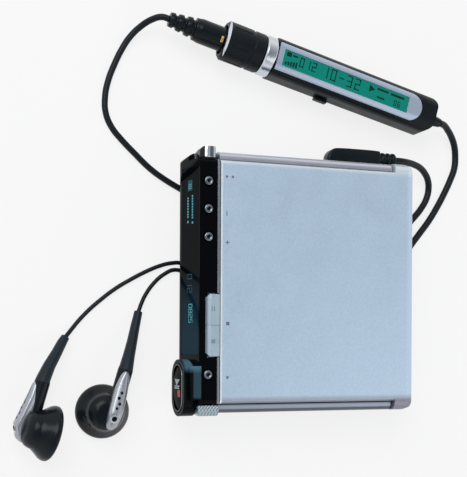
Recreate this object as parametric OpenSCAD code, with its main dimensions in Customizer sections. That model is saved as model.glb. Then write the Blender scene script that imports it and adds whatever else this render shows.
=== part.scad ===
// Portable disc recorder with a hinged lid, a stick remote control and earphones,
// laid flat on a table. X runs from the display edge to the hinge edge, Z is up.
// Heights of the player's own pieces are measured from its underside.

/* [Player] */
// Width of the strip between the lid and each long side
side_w = 3.15; // [2.9:0.05:3.6]
// Wall of the bottom case
case_wall = 0.8; // [0.6:0.1:1]
// Corner radius at the hinge end, seen from above
rear_corner_r = 4.5; // [3:0.1:5]
// Corner radius at the display end, seen from above
front_corner_r = 6; // [4:0.5:8]
// Gap between pieces that move past each other
gap = 0.3; // [0.2:0.05:0.35]

/* [Lid] */
// Thickness of the lid's sheet
lid_t = 0.9; // [0.7:0.05:1]
// Distance from the cartridge's side to the lid's edge
lid_rim = 3; // [2.9:0.05:3.4]
// Outer radius of the rounded hinge end
barrel_r = 4; // [3.8:0.05:4.2]
// Height of the lid's side flanges
flange_h = 3.7; // [3:0.1:4]
// Radius of the hinge pins
pin_r = 0.75; // [0.6:0.05:0.9]
// Running clearance of pins and shafts, on the radius
run_gap = 0.05; // [0.02:0.01:0.08]

/* [Disc bay] */
// Length of the disc cartridge, along X
disc_l = 67.7; // [60:0.1:76]
// Width of the disc cartridge
disc_w = 72; // [64:0.1:80]
// Height of the bay that takes the cartridge
disc_h = 5; // [4.5:0.1:5.6]
// Sheet of the holder
holder_t = 0.35; // [0.25:0.05:0.4]

/* [Display edge] */
// Width of the black strip that holds the keys
strip_w = 6; // [5.8:0.1:6.4]
// Width of the bright line beside the lid
trim_w = 0.8; // [0.5:0.05:1]
// How far the display face leans out at its foot
face_lean = 2.65; // [2:0.05:3.2]
// Distance from the display window to the control pad's housing
window_end = 1.45; // [1.2:0.05:2]
// Thickness of the display window
window_t = 0.9; // [0.6:0.05:1]
// Length of the display panel
panel_l = 48; // [40:0.5:54]

/* [Keys] */
// Diameter of the round buttons
button_d = 3; // [2.6:0.1:3.4]
// Pitch of the three round buttons in a row
button_pitch = 8.9; // [8:0.1:9.2]
// Length of each flat key
key_l = 9.9; // [8:0.1:10]
// Travel of keys and buttons
key_travel = 0.4; // [0.2:0.05:0.45]
// Length of the control pad's housing
pad_l = 18.4; // [17:0.1:18.6]
// Height of the control pad's housing
pad_w = 11.4; // [10.6:0.1:11.8]
// How far the pad's housing stands out beyond the display face's foot
pad_out = 1.95; // [1.5:0.05:2.5]

/* [Mechanism] */
// Radius of the turntable
turntable_r = 5.5; // [4.5:0.1:6.5]
// Radius of the spindle motor
motor_r = 8.5; // [7:0.1:8.6]
// Radius of the guide rails
rail_r = 0.75; // [0.5:0.05:0.9]
// Radius of the lead screw
screw_r = 1; // [0.7:0.05:1.1]
// Length of the battery
battery_l = 49; // [40:0.5:50]
// Clearance between the battery and the spindle motor
battery_gap = 2.45; // [1:0.05:3]
// Height of the battery
battery_h = 5.5; // [4:0.1:5.6]

/* [Sockets] */
// Bore radius of the sockets
jack_r = 1.8; // [1.78:0.01:1.84]
// Depth of the sockets
jack_depth = 12.6; // [12:0.1:13]
// Distance between the two side by side sockets
jack_pitch = 10; // [8:0.1:11]

/* [Remote control] */
// Length of the remote control
remote_len = 80.4; // [80:0.1:90]
// Width of the remote control
remote_w = 13.1; // [12.8:0.1:15]
// Height of the remote control's body
remote_h = 12.4; // [12:0.1:13]
// Radius of the turning head
head_r = 6.5; // [6.2:0.05:6.8]
// Length of the turning head
head_l = 13.8; // [12:0.1:13.9]
// Wall of the remote control's body
remote_wall = 1.2; // [0.9:0.05:1.4]
// Width of the remote control's window
glass_w = 9.6; // [8.5:0.1:10]
// Length of the remote control's window
glass_l = 56; // [50:0.5:58]

/* [Earphones] */
// Radius of the front rim of an earpiece
bud_r = 8.8; // [8:0.1:9]
// Depth of an earpiece from its rim to its back
bud_depth = 9.5; // [9:0.1:10.5]
// Radius of the stem beside the earpiece
stem_r = 2.45; // [2.2:0.05:2.9]
// Diameter of the earphone lead
phone_d = 2.1; // [1.8:0.05:2.1]
// Diameter of the two branches
branch_d = 1.4; // [1.2:0.05:1.4]
// Diameter of the remote control's lead
remote_d = 2.4; // [2:0.05:2.4]

/* [Hidden] */
$fn = 48;

// Shift from the player's own centre to the middle of everything on the table
origin_x = 20.71;
origin_y = -15.405;

// Heights inside the player, added up from its underside
board_room = 0.3;
deck_z = case_wall + board_room + battery_h + 0.25;
deck_t = 0.6;
deck_top = deck_z + deck_t;
bay_z = deck_top + 0.4 + holder_t;
bay_top = bay_z + disc_h;
body_h = bay_top + 0.5 + lid_t;
case_h = bay_z - 0.2;

// The two coils stand two turns high and carry the player
coil_gap = 0.45;
lift = 2 * remote_d + coil_gap + 0.25;

// Length and width, added up round the disc cartridge
bay_front = 0.7;
bay_rear = 2.35;
body_l = face_lean + strip_w + trim_w + gap + bay_front + disc_l + bay_rear;
lid_w = disc_w + 2 * lid_rim;
body_w = lid_w + 2 * side_w;
hx = body_l / 2;
hy = body_w / 2;
crease_x = -hx + face_lean;
strip_x = crease_x + strip_w;
trim_x = strip_x + trim_w;
lid_x = trim_x + gap;
hinge_x = hx - barrel_r;
hinge_z = body_h - barrel_r;
barrel_in = barrel_r - 0.7;
slider_travel = 2;
side_y = lid_w / 2;
rail_y = side_y + gap;
skirt_t = 1.3;
skirt_y = rail_y - skirt_t;
case_x = crease_x + 0.3;
shoulder_z = body_h - 1.7;
shoulder_r = 2.8;
skirt_top = body_h - flange_h - 0.5;
bar_z = case_h + 0.2;
bar_top = body_h - 4.1;
shelf_z = body_h - 1.6;
roll_r = 1.6;
edge_r = 1.5;
cut = 0.1;
big = 200;

// Disc bay
bay_x1 = hx - bay_rear;
bay_x0 = bay_x1 - disc_l;
bay_y = disc_w / 2;
holder_side = 0.5;
holder_y = bay_y + gap;
lug_y0 = holder_y + holder_side + 0.5;
lug_y1 = skirt_y + skirt_t + 0.1;
cap_y = lug_y1 + gap;
lug_r = barrel_in - 0.9;
spindle_x = (bay_x0 + bay_x1) / 2;

// Spindle motor, and the sledge that carries the pickup beside it
motor_z = deck_z - 3.15;
sled_motor_r = 2.2;
sled_motor_l = 11;
sled_z = deck_z - 2.25;
sled_y = 8;
screw_y = motor_r + 0.8 + sled_motor_r;
sled_l = 13;
bracket_t = 0.7;
sled_x = spindle_x - motor_r - 0.55 - bracket_t - gap - sled_l;
bracket_x0 = case_x + case_wall + 0.6;
sled_travel = sled_x - 1.9 - bracket_x0;
bracket_x1 = sled_x + sled_l + gap;

// Round buttons and keys on the strip
strip_mid = (crease_x + strip_x) / 2;
button_y0 = side_y - 7;
button_y = [button_y0, button_y0 - button_pitch, button_y0 - 2 * button_pitch, 9.4 - side_y];
button_top = body_h + 0.3;
plunger_z = bar_top + 0.4 + key_travel + 0.1;
flange_z = shelf_z - 0.1;
key_y = button_y[3] + 15.7;
key_x = crease_x + 2.2;
key_gap = 0.1;

// Display face
face_z = 2;
face_a = atan(face_lean / (body_h - face_z));
face_l = norm([face_lean, body_h - face_z]);
pad_hole = 0.3;
pad_in = 2.6;
pad_lean = 4.5;
pad_y = -hy - 1.15 + pad_l / 2;
pad_z = pad_w / 2 + 0.6;
pad_end = pad_y + pad_l / 2;
collar_r = 2.1;
collar_x = crease_x - 0.6;
collar_z = body_h - 1.6;
window_y0 = pad_end + window_end;
window_y1 = side_y - 2.05;
window_l = window_y1 - window_y0;
panel_y = window_y1 - 2.95 - panel_l / 2;

// Battery bay and its door
battery_x = spindle_x + motor_r + battery_gap;
battery_w = hx - 8.25 - battery_x;
battery_y0 = -hy + 2.3;
battery_y1 = battery_y0 + battery_l;
door_axis_y = -hy + 0.95;
door_axis_z = case_wall + 1.3;
door_x0 = battery_x - 0.6;
door_l = battery_w + 1.2;
door_h = battery_h;

// Sockets: one for the remote control, and two side by side on the battery's side
jack_z = case_h - gap - jack_r - 1.3;
deck_y = hy - jack_depth - 2.55;
remote_jack_x = 20;
side_jack_x = battery_x - 13;

// Remote control, along its own axis from the turning head
clip_room = 1.4;
remote_at = [-26.11, 81.26, remote_h / 2 + clip_room];
remote_a = -14.3;
ring_x0 = head_l + 0.2;
ring_x1 = ring_x0 + 3.8;
shell_x0 = ring_x1 + 0.1;
shell_corner = 4.2;
glass_x0 = shell_x0 + 0.3;
glass_v = -0.45;
glass_t = 1;
lcd_in = 2.05;
lcd_l = glass_l - 7.6;
lcd_w = glass_w - 4;
clip_x = shell_x0 + 28;
clip_half = 4.5;

// Points of the leads on the table, chosen by hand
remote_pts = [[56.7, 60.2, 7.6], [59.3, 59.9, 6.4], [61.9, 58.6, 4.8], [64.4, 56.7, 3.2],
    [66.4, 53.8, 2.0], [67.3, 49.9, 1.3], [67, 45.6, 1.2], [65.2, 41, 1.2], [62.6, 35.8, 1.2],
    [59.6, 30.6, 1.2], [56.3, 25.6, 1.2], [52.4, 20.7, 1.2], [48.3, 15.6, 1.2], [44.2, 9.8, 1.2],
    [40.7, 3.4, 1.2], [38.7, -2, 1.2]];
plug_pts = [[37.4, 44.8, 10.1], [40, 44.8, 9.9], [43.2, 44.8, 8.8], [46.6, 44.6, 7.2],
    [50, 44, 5.4], [53, 42.6, 3.6], [55.2, 40.4, 2.2], [56, 37.4, 1.4], [55.3, 33.8, 1.2],
    [53, 29.9, 1.2], [49.6, 26, 1.2], [45.4, 21.8, 1.2], [40.4, 17.6, 1.3], [34.8, 13.9, 1.9],
    [28.8, 11.3, 3.1]];
phone_pts = [[-44.5, 86, 7.6], [-46.8, 86.6, 7], [-49.8, 85.9, 5.4], [-53, 83.9, 3.4],
    [-56.2, 80.6, 1.9], [-58.9, 76.2, 1.2], [-61.3, 71, 1.05], [-63.2, 65.8, 1.05],
    [-64.2, 60.4, 1.05], [-63.9, 55, 1.05], [-61.9, 50.6, 1.05], [-58.7, 46.9, 1.05],
    [-54.4, 42.8, 1.05], [-49, 38, 1.05], [-43.4, 34.4, 1.05], [-37.6, 31.4, 1.05],
    [-31.8, 28.2, 1.05], [-26, 25.2, 1.05]];
tail_pts = [[-2.8, 3.2, 3.3], [-3.4, -1.2, 2.6], [-4.2, -5.6, 1.6], [-5, -10, 1.1]];
left_pts = [[-6.4, -25.4, 0.7], [-6.7, -28, 0.7], [-8.6, -31.2, 0.7], [-12, -33.2, 0.7],
    [-16.6, -33.8, 0.7], [-21.6, -33.6, 0.7], [-26.4, -32.2, 0.7], [-30, -29.2, 0.7],
    [-32.4, -25, 0.7], [-33.5, -20, 0.7], [-33.9, -14.8, 0.7], [-34, -9.4, 0.7], [-34, -4, 0.7],
    [-34.1, 0.8, 0.7], [-35.2, 4.8, 0.7], [-38, 7, 0.7], [-41.4, 7, 0.7], [-45.6, 5.9, 0.7],
    [-50.4, 3.8, 0.7], [-55.4, 1.1, 0.7], [-60.3, -1.9, 0.7], [-65, -5.5, 0.7],
    [-69.4, -9.4, 0.7], [-72.6, -12.8, 0.8], [-75, -15.7, 1.3], [-76.9, -18, 2]];
right_pts = [[-4.6, -25.4, 0.7], [-4.7, -28.4, 0.7], [-5.8, -32.2, 0.7], [-9.2, -35.6, 0.7],
    [-14, -37, 0.7], [-19.4, -37.2, 0.7], [-24.8, -36.8, 0.7], [-29.8, -35, 0.7],
    [-33.4, -31.4, 0.7], [-35.3, -26.4, 0.7], [-35.9, -20.8, 0.7], [-36, -15.2, 0.7],
    [-36, -9.6, 0.7], [-36, -4, 0.7], [-36.2, 0.4, 0.7], [-37.4, 3.9, 0.7], [-40.2, 4.8, 0.7],
    [-43.8, 3.3, 0.7], [-47.4, 0.2, 0.7], [-50.3, -3.8, 0.8], [-51.8, -6.8, 1.2], [-52.9, -9.5, 1.8]];
left_sleeve_pts = [[-82.6, -27.1, 6.4], [-80.1, -23.1, 4.6], [-78.2, -19.9, 3], [-76.9, -18, 2]];
right_sleeve_pts = [[-57.4, -24.1, 7.6], [-55.8, -19.5, 5.2], [-54.4, -14.8, 3.2], [-52.9, -9.5, 1.8]];

// Coils beneath the player: centre, inner radius, turns and pitch
remote_coil_at = [20, -8];
remote_coil_in = 10;
remote_turns = 5.75;
remote_pitch = remote_d + coil_gap;
remote_coil_out = remote_coil_in + remote_pitch * remote_turns / 2;
phone_coil_at = [-17, 9];
phone_coil_in = 8.8;
phone_turns = 4.25;
phone_pitch = phone_d + coil_gap;
phone_coil_out = phone_coil_in + phone_pitch * phone_turns / 2;
loop_rings = 24;
tube_sides = 8;
wound_sides = 6;

// Earpieces: centre of the front rim of each
left_bud_a = -16;
left_bud_lean = 10;
left_bud_at = [-81.9, -48.2, bud_r * cos(left_bud_lean) - 0.4 * sin(left_bud_lean)];
right_bud_at = [-64.9, -41.9, 1.6];
right_bud_a = -16.3;
stem_off = 2.2;
stem_z = bud_depth - 2.5;
stem_y0 = -3;
stem_y1 = 14.8;
shell_r = bud_r - 2.9;
trim_l = 19.6;
trim_across = 5.8;
trim_y = 4.9;
trim_rise = 2.6;

// Helpers

module place() {
    translate([origin_x, origin_y, 0]) children();
}

module on_player() {
    place() translate([0, 0, lift]) children();
}

module on_remote() {
    place() translate(remote_at) rotate([0, 0, remote_a]) children();
}

module along_x(x0, x1) {
    translate([x0, 0, 0]) rotate([90, 0, 90]) linear_extrude(x1 - x0) children();
}

module along_y(y0, y1) {
    translate([0, y1, 0]) rotate([90, 0, 0]) linear_extrude(y1 - y0) children();
}

module rod_x(x0, x1, y, z, r) {
    translate([x0, y, z]) rotate([0, 90, 0]) cylinder(h = x1 - x0, r = r);
}

module rod_y(x, y0, y1, z, r) {
    translate([x, y1, z]) rotate([90, 0, 0]) cylinder(h = y1 - y0, r = r);
}

module box(x0, x1, y0, y1, z0, z1) {
    translate([x0, y0, z0]) cube([x1 - x0, y1 - y0, z1 - z0]);
}

module both_sides() {
    children();
    mirror([0, 1, 0]) children();
}

// Rectangle with its own radius at the low x and the high x corners
module plan(x0, x1, y0, y1, r0, r1) {
    difference() {
        translate([x0, y0]) square([x1 - x0, y1 - y0]);
        for (m = [0, 1]) {
            corner_cut(x0, m == 0 ? y0 : y1, 1, m == 0 ? 1 : -1, r0);
            corner_cut(x1, m == 0 ? y0 : y1, -1, m == 0 ? 1 : -1, r1);
        }
    }
}

module corner_cut(x, y, sx, sy, r) {
    difference() {
        translate([x + sx * r / 2 - sx * cut / 2, y + sy * r / 2 - sy * cut / 2])
            square(r + cut, center = true);
        translate([x + sx * r, y + sy * r]) circle(r);
    }
}

module stadium(l, w) {
    square([w, l - w], center = true);
    translate([0, (l - w) / 2]) circle(d = w);
    translate([0, -(l - w) / 2]) circle(d = w);
}

// Frame of the leaning display face: x up the face, y along it, z outwards
module on_face() {
    on_player() face_frame() children();
}

module face_frame() {
    translate([-hx, 0, face_z]) rotate([0, -90 + face_a, 0]) children();
}

function unit(v) = v / norm(v);
function heading(p, i) =
    unit(i == 0 ? p[1] - p[0] : i == len(p) - 1 ? p[i] - p[i - 1] : p[i + 1] - p[i - 1]);
function ring(p, t, r, n) =
    let(side = unit(cross(t, [0, 0, 1])), up = cross(side, t))
    [for (k = [0 : n - 1]) p + r * (cos(360 * k / n) * side + sin(360 * k / n) * up)];

// Tube through points, with one radius or one for each point
module tube(p, r, n) {
    last = len(p) - 1;
    pts = [for (i = [0 : last]) each ring(p[i], heading(p, i), is_list(r) ? r[i] : r, n)];
    skin = [for (i = [0 : last - 1], k = [0 : n - 1]) each
        let(a = i * n + k, b = i * n + (k + 1) % n) [[a, b, b + n], [a, b + n, a + n]]];
    foot = [for (k = [1 : n - 2]) [0, k + 1, k]];
    head = [for (k = [1 : n - 2]) [last * n, last * n + k, last * n + k + 1]];
    polyhedron(points = pts, faces = concat(skin, foot, head), convexity = 10);
}

// Height share of a climb that lasts half a turn about the middle of the winding
function ease(t) = t < 0 ? 0 : t > 1 ? 1 : t * t * (3 - 2 * t);
function coil_point(c, r_in, pitch, turns, phase, z, s) =
    let(r = r_in + pitch * abs(s - turns / 2), a = phase - 360 * s)
    [c[0] + r * cos(a), c[1] + r * sin(a), z + pitch * ease((s - turns / 2 + 0.25) / 0.5)];
function coil_path(c, r_in, pitch, turns, phase, d) =
    let(count = round(turns * loop_rings),
        run = [for (i = [0 : count]) coil_point(c, r_in, pitch, turns, phase, d / 2, i / loop_rings)],
        a1 = phase - 360 * turns)
    concat([run[0] - d * [sin(phase), -cos(phase), 0]], run,
        [run[count] + d * [sin(a1), -cos(a1), 0]]);
function least_gap(p, d) =
    min([for (i = [0 : len(p) - 1], j = [i + 12 : 1 : len(p) - 1]) norm(p[i] - p[j])]) - d;

remote_coil_path = coil_path(remote_coil_at, remote_coil_in, remote_pitch, remote_turns, 0, remote_d);
phone_coil_path = coil_path(phone_coil_at, phone_coil_in, phone_pitch, phone_turns, 90, phone_d);
echo(least_gap_of_remote_coil = least_gap(remote_coil_path, remote_d));
echo(least_gap_of_phone_coil = least_gap(phone_coil_path, phone_d));
coil_in_end = remote_coil_path[0];
coil_out_end = remote_coil_path[len(remote_coil_path) - 1];
phone_in_end = phone_coil_path[0];
phone_out_end = phone_coil_path[len(phone_coil_path) - 1];

// Player shell

module case_plan(h) {
    linear_extrude(h) plan(case_x, hx, -hy, hy, 1, rear_corner_r);
}

module barrel_room(extra) {
    rod_y(hinge_x, -big, big, hinge_z, barrel_r + extra);
}

module jack_places() {
    translate([remote_jack_x, 0, 0]) children();
    mirror([0, 1, 0]) for (i = [0, 1]) translate([side_jack_x - i * jack_pitch, 0, 0]) children();
}

module screw_places() {
    both_sides() {
        translate([case_x + 4.8, hy - 6.6, 0]) children();
        translate([hx - 5.4, hy - 9, 0]) children();
    }
}

module bottom_case() {
    color("#8d929c") on_player() difference() {
        intersection() {
            case_plan(case_h);
            along_x(-big, big) difference() {
                translate([-hy, 0]) square([body_w, body_h]);
                corner_cut(-hy, 0, 1, 1, edge_r);
                corner_cut(hy, 0, -1, 1, edge_r);
            }
        }
        difference() {
            translate([0, 0, case_wall])
                linear_extrude(case_h) plan(case_x + case_wall, hx - case_wall, -hy + case_wall,
                    hy - case_wall, 0.4, rear_corner_r - case_wall);
            for (x = [door_x0 - 1.3, door_x0 + door_l + 0.1])
                box(x, x + 1.2, -hy, -hy + 1.9, 0, door_axis_z + 1.3);
        }
        barrel_room(gap + 0.05);
        box(door_x0 - 0.1, door_x0 + door_l + 0.1, -hy - 1, -hy + 1.8, case_wall, door_axis_z + door_h);
        rod_x(door_x0 - 0.9, door_x0 + door_l + 0.9, door_axis_y, door_axis_z, 0.5 + run_gap);
        jack_places() rod_y(0, hy - 3, hy + 1, jack_z, jack_r + 0.85);
        screw_places() {
            translate([0, 0, -cut]) cylinder(h = 2, r = 0.9);
            translate([0, 0, -cut]) cylinder(h = 0.5, r = 1.6);
        }
    }
}

module shoulder_section() {
    difference() {
        translate([rail_y, case_h + 0.05]) square([hy - rail_y, shoulder_z - case_h - 0.05]);
        corner_cut(hy, shoulder_z, -1, -1, min(shoulder_r, hy - rail_y));
    }
    translate([skirt_y, case_wall + 0.1]) square([skirt_t + 0.1, skirt_top - case_wall - 0.1]);
}

module mid_frame() {
    color("#a9a7bd") on_player() difference() {
        union() {
            both_sides() {
                along_x(trim_x + 0.4, hinge_x - barrel_r - 0.65) shoulder_section();
                box(crease_x + 1.2, hinge_x, skirt_y, lug_y1, case_wall + 0.1, case_h - gap);
                box(hinge_x - 2.8, hinge_x - 0.05, lug_y0, lug_y1, case_wall + 0.1, hinge_z);
                rod_y(hinge_x, lug_y0, lug_y1, hinge_z, lug_r);
            }
            box(crease_x + 1.2, strip_x - 0.1, -skirt_y - 0.5, skirt_y + 0.5, bar_z, bar_top);
            both_sides() box(crease_x + 1.2, strip_x - 0.1, skirt_y, skirt_y + 0.5, case_h - 1, bar_top);
            difference() {
                box(hinge_x - 3.4, hx - case_wall - 0.5, -lug_y1, lug_y1, case_wall + 0.1,
                    hinge_z - lug_r - 2.3);
                box(battery_x - 1, battery_x + battery_w + 2, -big, battery_y1 + 1, 0, big);
            }
            screw_places() cylinder(h = 5, r = 2);
            both_sides() translate([case_x + 4.8, hy - 6.6, 1]) cylinder(h = bar_z - 0.9, r = 2);
        }
        translate([0, 0, -big]) cube([2 * big, 2 * big, 2 * (big + case_wall + 0.1)], center = true);
        difference() {
            barrel_room(gap + 0.05);
            both_sides() box(hinge_x - 2.8, hinge_x - 0.05, lug_y0, lug_y1, 0, hinge_z);
            both_sides() rod_y(hinge_x, lug_y0, lug_y1, hinge_z, lug_r);
        }
        both_sides() rod_y(hinge_x, lug_y0 - 1, lug_y1 + 1, hinge_z, pin_r + 0.02);
        box(battery_x - 0.9, battery_x + battery_w + 0.9, -big, -skirt_y + 1, 0, case_h - 0.4);
        jack_places() box(-jack_r - 1.4, jack_r + 1.4, skirt_y - 1, big, 0, case_h - gap);
        screw_places() cylinder(h = 4.4, r = 0.8);
    }
}

module bezel_section() {
    difference() {
        polygon([[-hx + 0.7, 0.05], [-hx + 0.1, 0.7], [-hx, face_z], [crease_x, body_h],
            [strip_x, body_h], [strip_x, shelf_z], [crease_x + 1.1, shelf_z],
            [crease_x + 0.2, case_h + 0.1], [crease_x + 0.2, 0.05]]);
    }
}

module button_holes(r, z0, z1) {
    for (y = button_y) translate([strip_mid, y, z0]) cylinder(h = z1 - z0, r = r);
}

module front_bezel() {
    color("#101319") on_player() difference() {
        intersection() {
            along_y(-hy, hy) bezel_section();
            linear_extrude(body_h + 1) plan(-hx - 1, hx, -hy, hy, front_corner_r, 1);
        }
        both_sides() along_x(-big, big) corner_cut(side_y + 0.2, body_h, -1, -1, roll_r);
        both_sides() box(-big, big, side_y + 0.2, big, case_h - 0.7, big);
        button_holes(button_d / 2 + 0.15, shelf_z - 1, body_h + 1);
        button_holes(button_d / 2 + 0.45, body_h - 0.6, body_h + 1);
        box(key_x - gap / 2, big, key_y - key_l - gap, key_y + key_l + gap, shelf_z - 1, big);
        face_frame() {
            translate([1, window_y0 - 0.05, -window_t])
                cube([face_l - 1.6, window_l + 0.1, 5]);
            translate([1.8, panel_y - panel_l / 2 - 0.05, -window_t - 0.8])
                cube([face_l - 4.7, panel_l + 0.1, 1]);
        }
        pad_frame() translate([0, 0, -pad_in - 0.02]) linear_extrude(8)
            stadium(pad_l + 0.02, pad_w + 0.02);
        collar(0.02);
    }
}

module trim_strip() {
    color("#c8ccd6") on_player() difference() {
        box(strip_x, trim_x, -side_y, side_y, bar_top + 0.7, body_h);
        box(-big, big, key_y - key_l - gap, key_y + key_l + gap, shelf_z - 0.9, big);
    }
}

module display_window() {
    color("#1b2a35") on_face() translate([1, window_y0, -window_t])
        linear_extrude(window_t) plan(0.05, face_l - 1.65, 0, window_l, 1, 1);
}

module oled_panel() {
    color("#20606c") on_face() translate([1.85, panel_y - panel_l / 2, -window_t - 0.75])
        cube([face_l - 4.8, panel_l, 0.7]);
}

module lid_section() {
    top_r = 1.2;
    difference() {
        translate([-side_y, body_h - flange_h]) square([lid_w, flange_h]);
        translate([-side_y + lid_t, 0]) square([lid_w - 2 * lid_t, body_h - lid_t]);
        corner_cut(-side_y, body_h, 1, -1, top_r);
        corner_cut(side_y, body_h, -1, -1, top_r);
    }
}

module lid_cap() {
    cap_x = hinge_x - barrel_r;
    intersection() {
        union() {
            box(cap_x, hinge_x, -hy, hy, hinge_z - 1.6, body_h);
            rod_y(hinge_x, -hy, hy, hinge_z, barrel_r);
        }
        linear_extrude(big) plan(cap_x - 20, hx, -hy, hy, 1, rear_corner_r);
        along_x(-big, big) difference() {
            translate([-hy, 0]) square([body_w, body_h]);
            corner_cut(-hy, body_h, 1, -1, 3.2);
            corner_cut(hy, body_h, -1, -1, 3.2);
        }
    }
}

module lid() {
    color("#a9bfd9") on_player() difference() {
        union() {
            along_x(lid_x, hinge_x) lid_section();
            lid_cap();
        }
        rod_y(hinge_x, -cap_y, cap_y, hinge_z, barrel_in);
        box(hinge_x - barrel_r - 1, hinge_x, -cap_y, cap_y, 0, body_h - flange_h);
        box(hinge_x - barrel_r - 1, hinge_x, -side_y + lid_t, side_y - lid_t, 0, body_h - lid_t);
        box(hinge_x - cut, hinge_x + barrel_r * cos(40), -cap_y, cap_y, 0, hinge_z - barrel_r * sin(40));
        box(hinge_x - cut, big, -cap_y, cap_y, 0, hinge_z - barrel_r * sin(40));
        both_sides() rod_y(hinge_x, cap_y - 1, cap_y + 1.4, hinge_z, pin_r + run_gap);
    }
}

module disc_holder() {
    wall_x0 = bay_x0 - 0.1;
    color("#b9bcc2") on_player() {
        difference() {
            union() {
                box(wall_x0, bay_x1 + 0.4, -holder_y - holder_side, holder_y + holder_side,
                    bay_z - holder_t - 0.05, bay_z - 0.05);
                both_sides() {
                    box(wall_x0, bay_x1 - 3, holder_y, holder_y + holder_side,
                        bay_z - holder_t - 0.05, body_h - lid_t);
                    box(wall_x0, bay_x1 - 3, holder_y - 3, holder_y + 0.1, bay_top + 0.1, body_h - lid_t);
                }
            }
            box(spindle_x - turntable_r - 3, spindle_x + 16, -20, 20, 0, bay_z + 1);
            box(wall_x0 - 1, spindle_x - turntable_r - 2.5, -10, 10, 0, bay_z + 1);
            both_sides() box(spindle_x + 19, bay_x1 - 4, 8, bay_y - 6, 0, bay_z + 1);
        }
    }
}

module head_arm() {
    arm_l = 18;
    arm_x = spindle_x + 4 - arm_l;
    color("#d8b46a") on_player() {
        box(arm_x, arm_x + arm_l, -1.6, 1.6, bay_top + 0.15, body_h - lid_t - 0.15);
        box(arm_x - 3, arm_x + 0.1, -2.4, 2.4, bay_top + 0.15, body_h - lid_t - 0.15);
    }
}

module hinge_pins() {
    color("#c0c4ca") on_player() both_sides()
        rod_y(hinge_x, lug_y0 + 0.1, cap_y + 1.2, hinge_z, pin_r);
}

// Side sliders at the two display corners

module slider_section(y_in, y_out, z0, z1, r) {
    difference() {
        translate([y_in, z0]) square([y_out - y_in, z1 - z0]);
        corner_cut(y_out, z1, -1, -1, r);
        corner_cut(y_out, z0, -1, 1, 0.8);
    }
}

module slider_block(x0, x1, y_out) {
    y0 = side_y + 0.55;
    difference() {
        along_x(x0, x1) slider_section(y0, y_out, case_h + gap, shoulder_z + 0.8, 2.4);
        linear_extrude(big) difference() {
            translate([x0 - 2, y0 - 2]) square([x1 - x0 + 4, 20]);
            plan(x0, x1, y0 - 10, y_out, 1.4, 0.5);
        }
    }
}

module hold_slider() {
    x0 = crease_x + 0.6;
    x1 = strip_x - 0.1;
    y0 = side_y + 0.55;
    top = body_h - 0.4;
    color("#d5d9df") on_player() intersection() {
        along_y(y0, hy + 1) difference() {
            translate([x0, case_h + gap]) square([x1 - x0, top - case_h - gap]);
            corner_cut(x0, top, 1, -1, 2.4);
            corner_cut(x1, top, -1, -1, 1.8);
        }
        linear_extrude(big) plan(x0, x1, y0 - 10, hy + 1, 1.6, 0.6);
    }
}

module open_slider() {
    x0 = crease_x;
    x1 = trim_x + 0.1;
    ribs = 8;
    color("#b9c2cb") on_player() mirror([0, 1, 0]) {
        difference() {
            slider_block(x0, x1, hy + 0.9);
            along_x(trim_x + 0.1 - slider_travel, x1 + 1)
                slider_section(0, hy + gap, 0, shoulder_z + gap, shoulder_r);
            mirror([0, 1, 0]) pad_frame() translate([0, 0, -pad_in - gap])
                linear_extrude(8) stadium(pad_l + 2 * gap, pad_w + 2 * gap);
            mirror([0, 1, 0]) collar(gap);
            for (i = [1 : ribs])
                translate([x0 + i * (x1 - x0) / (ribs + 1), hy + 1.05, case_h - 1])
                    rotate([0, 0, 45]) cube([0.6, 0.6, 12], center = true);
        }
    }
}

// Keys and buttons

module round_button(y) {
    color("#e2e6ea") on_player() translate([strip_mid, y, 0]) {
        rotate_extrude() polygon([[0, plunger_z], [0.8, plunger_z], [0.8, flange_z - 0.5],
            [button_d / 2 + 0.3, flange_z - 0.5], [button_d / 2 + 0.3, flange_z],
            [button_d / 2, flange_z], [button_d / 2, body_h - 0.35],
            [button_d / 2 - 0.3, body_h], [button_d / 2 - 0.9, button_top - 0.05], [0, button_top]]);
    }
}

module menu_button() {
    round_button(button_y[0]);
}

module volume_down_button() {
    round_button(button_y[1]);
}

module volume_up_button() {
    round_button(button_y[2]);
}

module track_mark_button() {
    round_button(button_y[3]);
}

module flat_key(y0, y1, far) {
    color("#b7d0df") on_player() difference() {
        union() {
            along_y(y0, y1) polygon([[key_x, flange_z - 0.1], [key_x, body_h - 0.7],
                [key_x + 1.6, body_h + 0.3], [trim_x - 0.05, body_h + 0.3], [trim_x - 0.05, flange_z - 0.1]]);
            box(key_x - 0.7, strip_x - gap, y0 - (far < 0 ? 0.8 : 0), y1 + (far > 0 ? 0.8 : 0),
                flange_z - 0.5, flange_z);
            box(strip_mid - 0.8, strip_mid + 0.8, (y0 + y1) / 2 - 1, (y0 + y1) / 2 + 1,
                plunger_z, flange_z - 0.4);
        }
        translate([key_x, far < 0 ? y0 : y1, 0]) rotate([0, 0, 45])
            cube([1.8, 1.8, 4 * body_h], center = true);
    }
}

module pause_key() {
    flat_key(key_y + key_gap / 2, key_y + key_l, 1);
}

module stop_key() {
    flat_key(key_y - key_l, key_y - key_gap / 2, -1);
}

// Frame of the control pad: x up, y along the face, z outwards
module pad_frame() {
    translate([-hx, pad_y, pad_z]) rotate([0, -90 + pad_lean, 0]) children();
}

// Rounded neck of the pad's housing, over the crease of the black strip
module collar(extra) {
    intersection() {
        rod_y(collar_x, 1.2 - side_y - extra, pad_end - 2 + extra, collar_z, collar_r + extra);
        box(collar_x - 2.2, crease_x + 0.85 + extra, -big, big, 0, big);
    }
}

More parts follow.
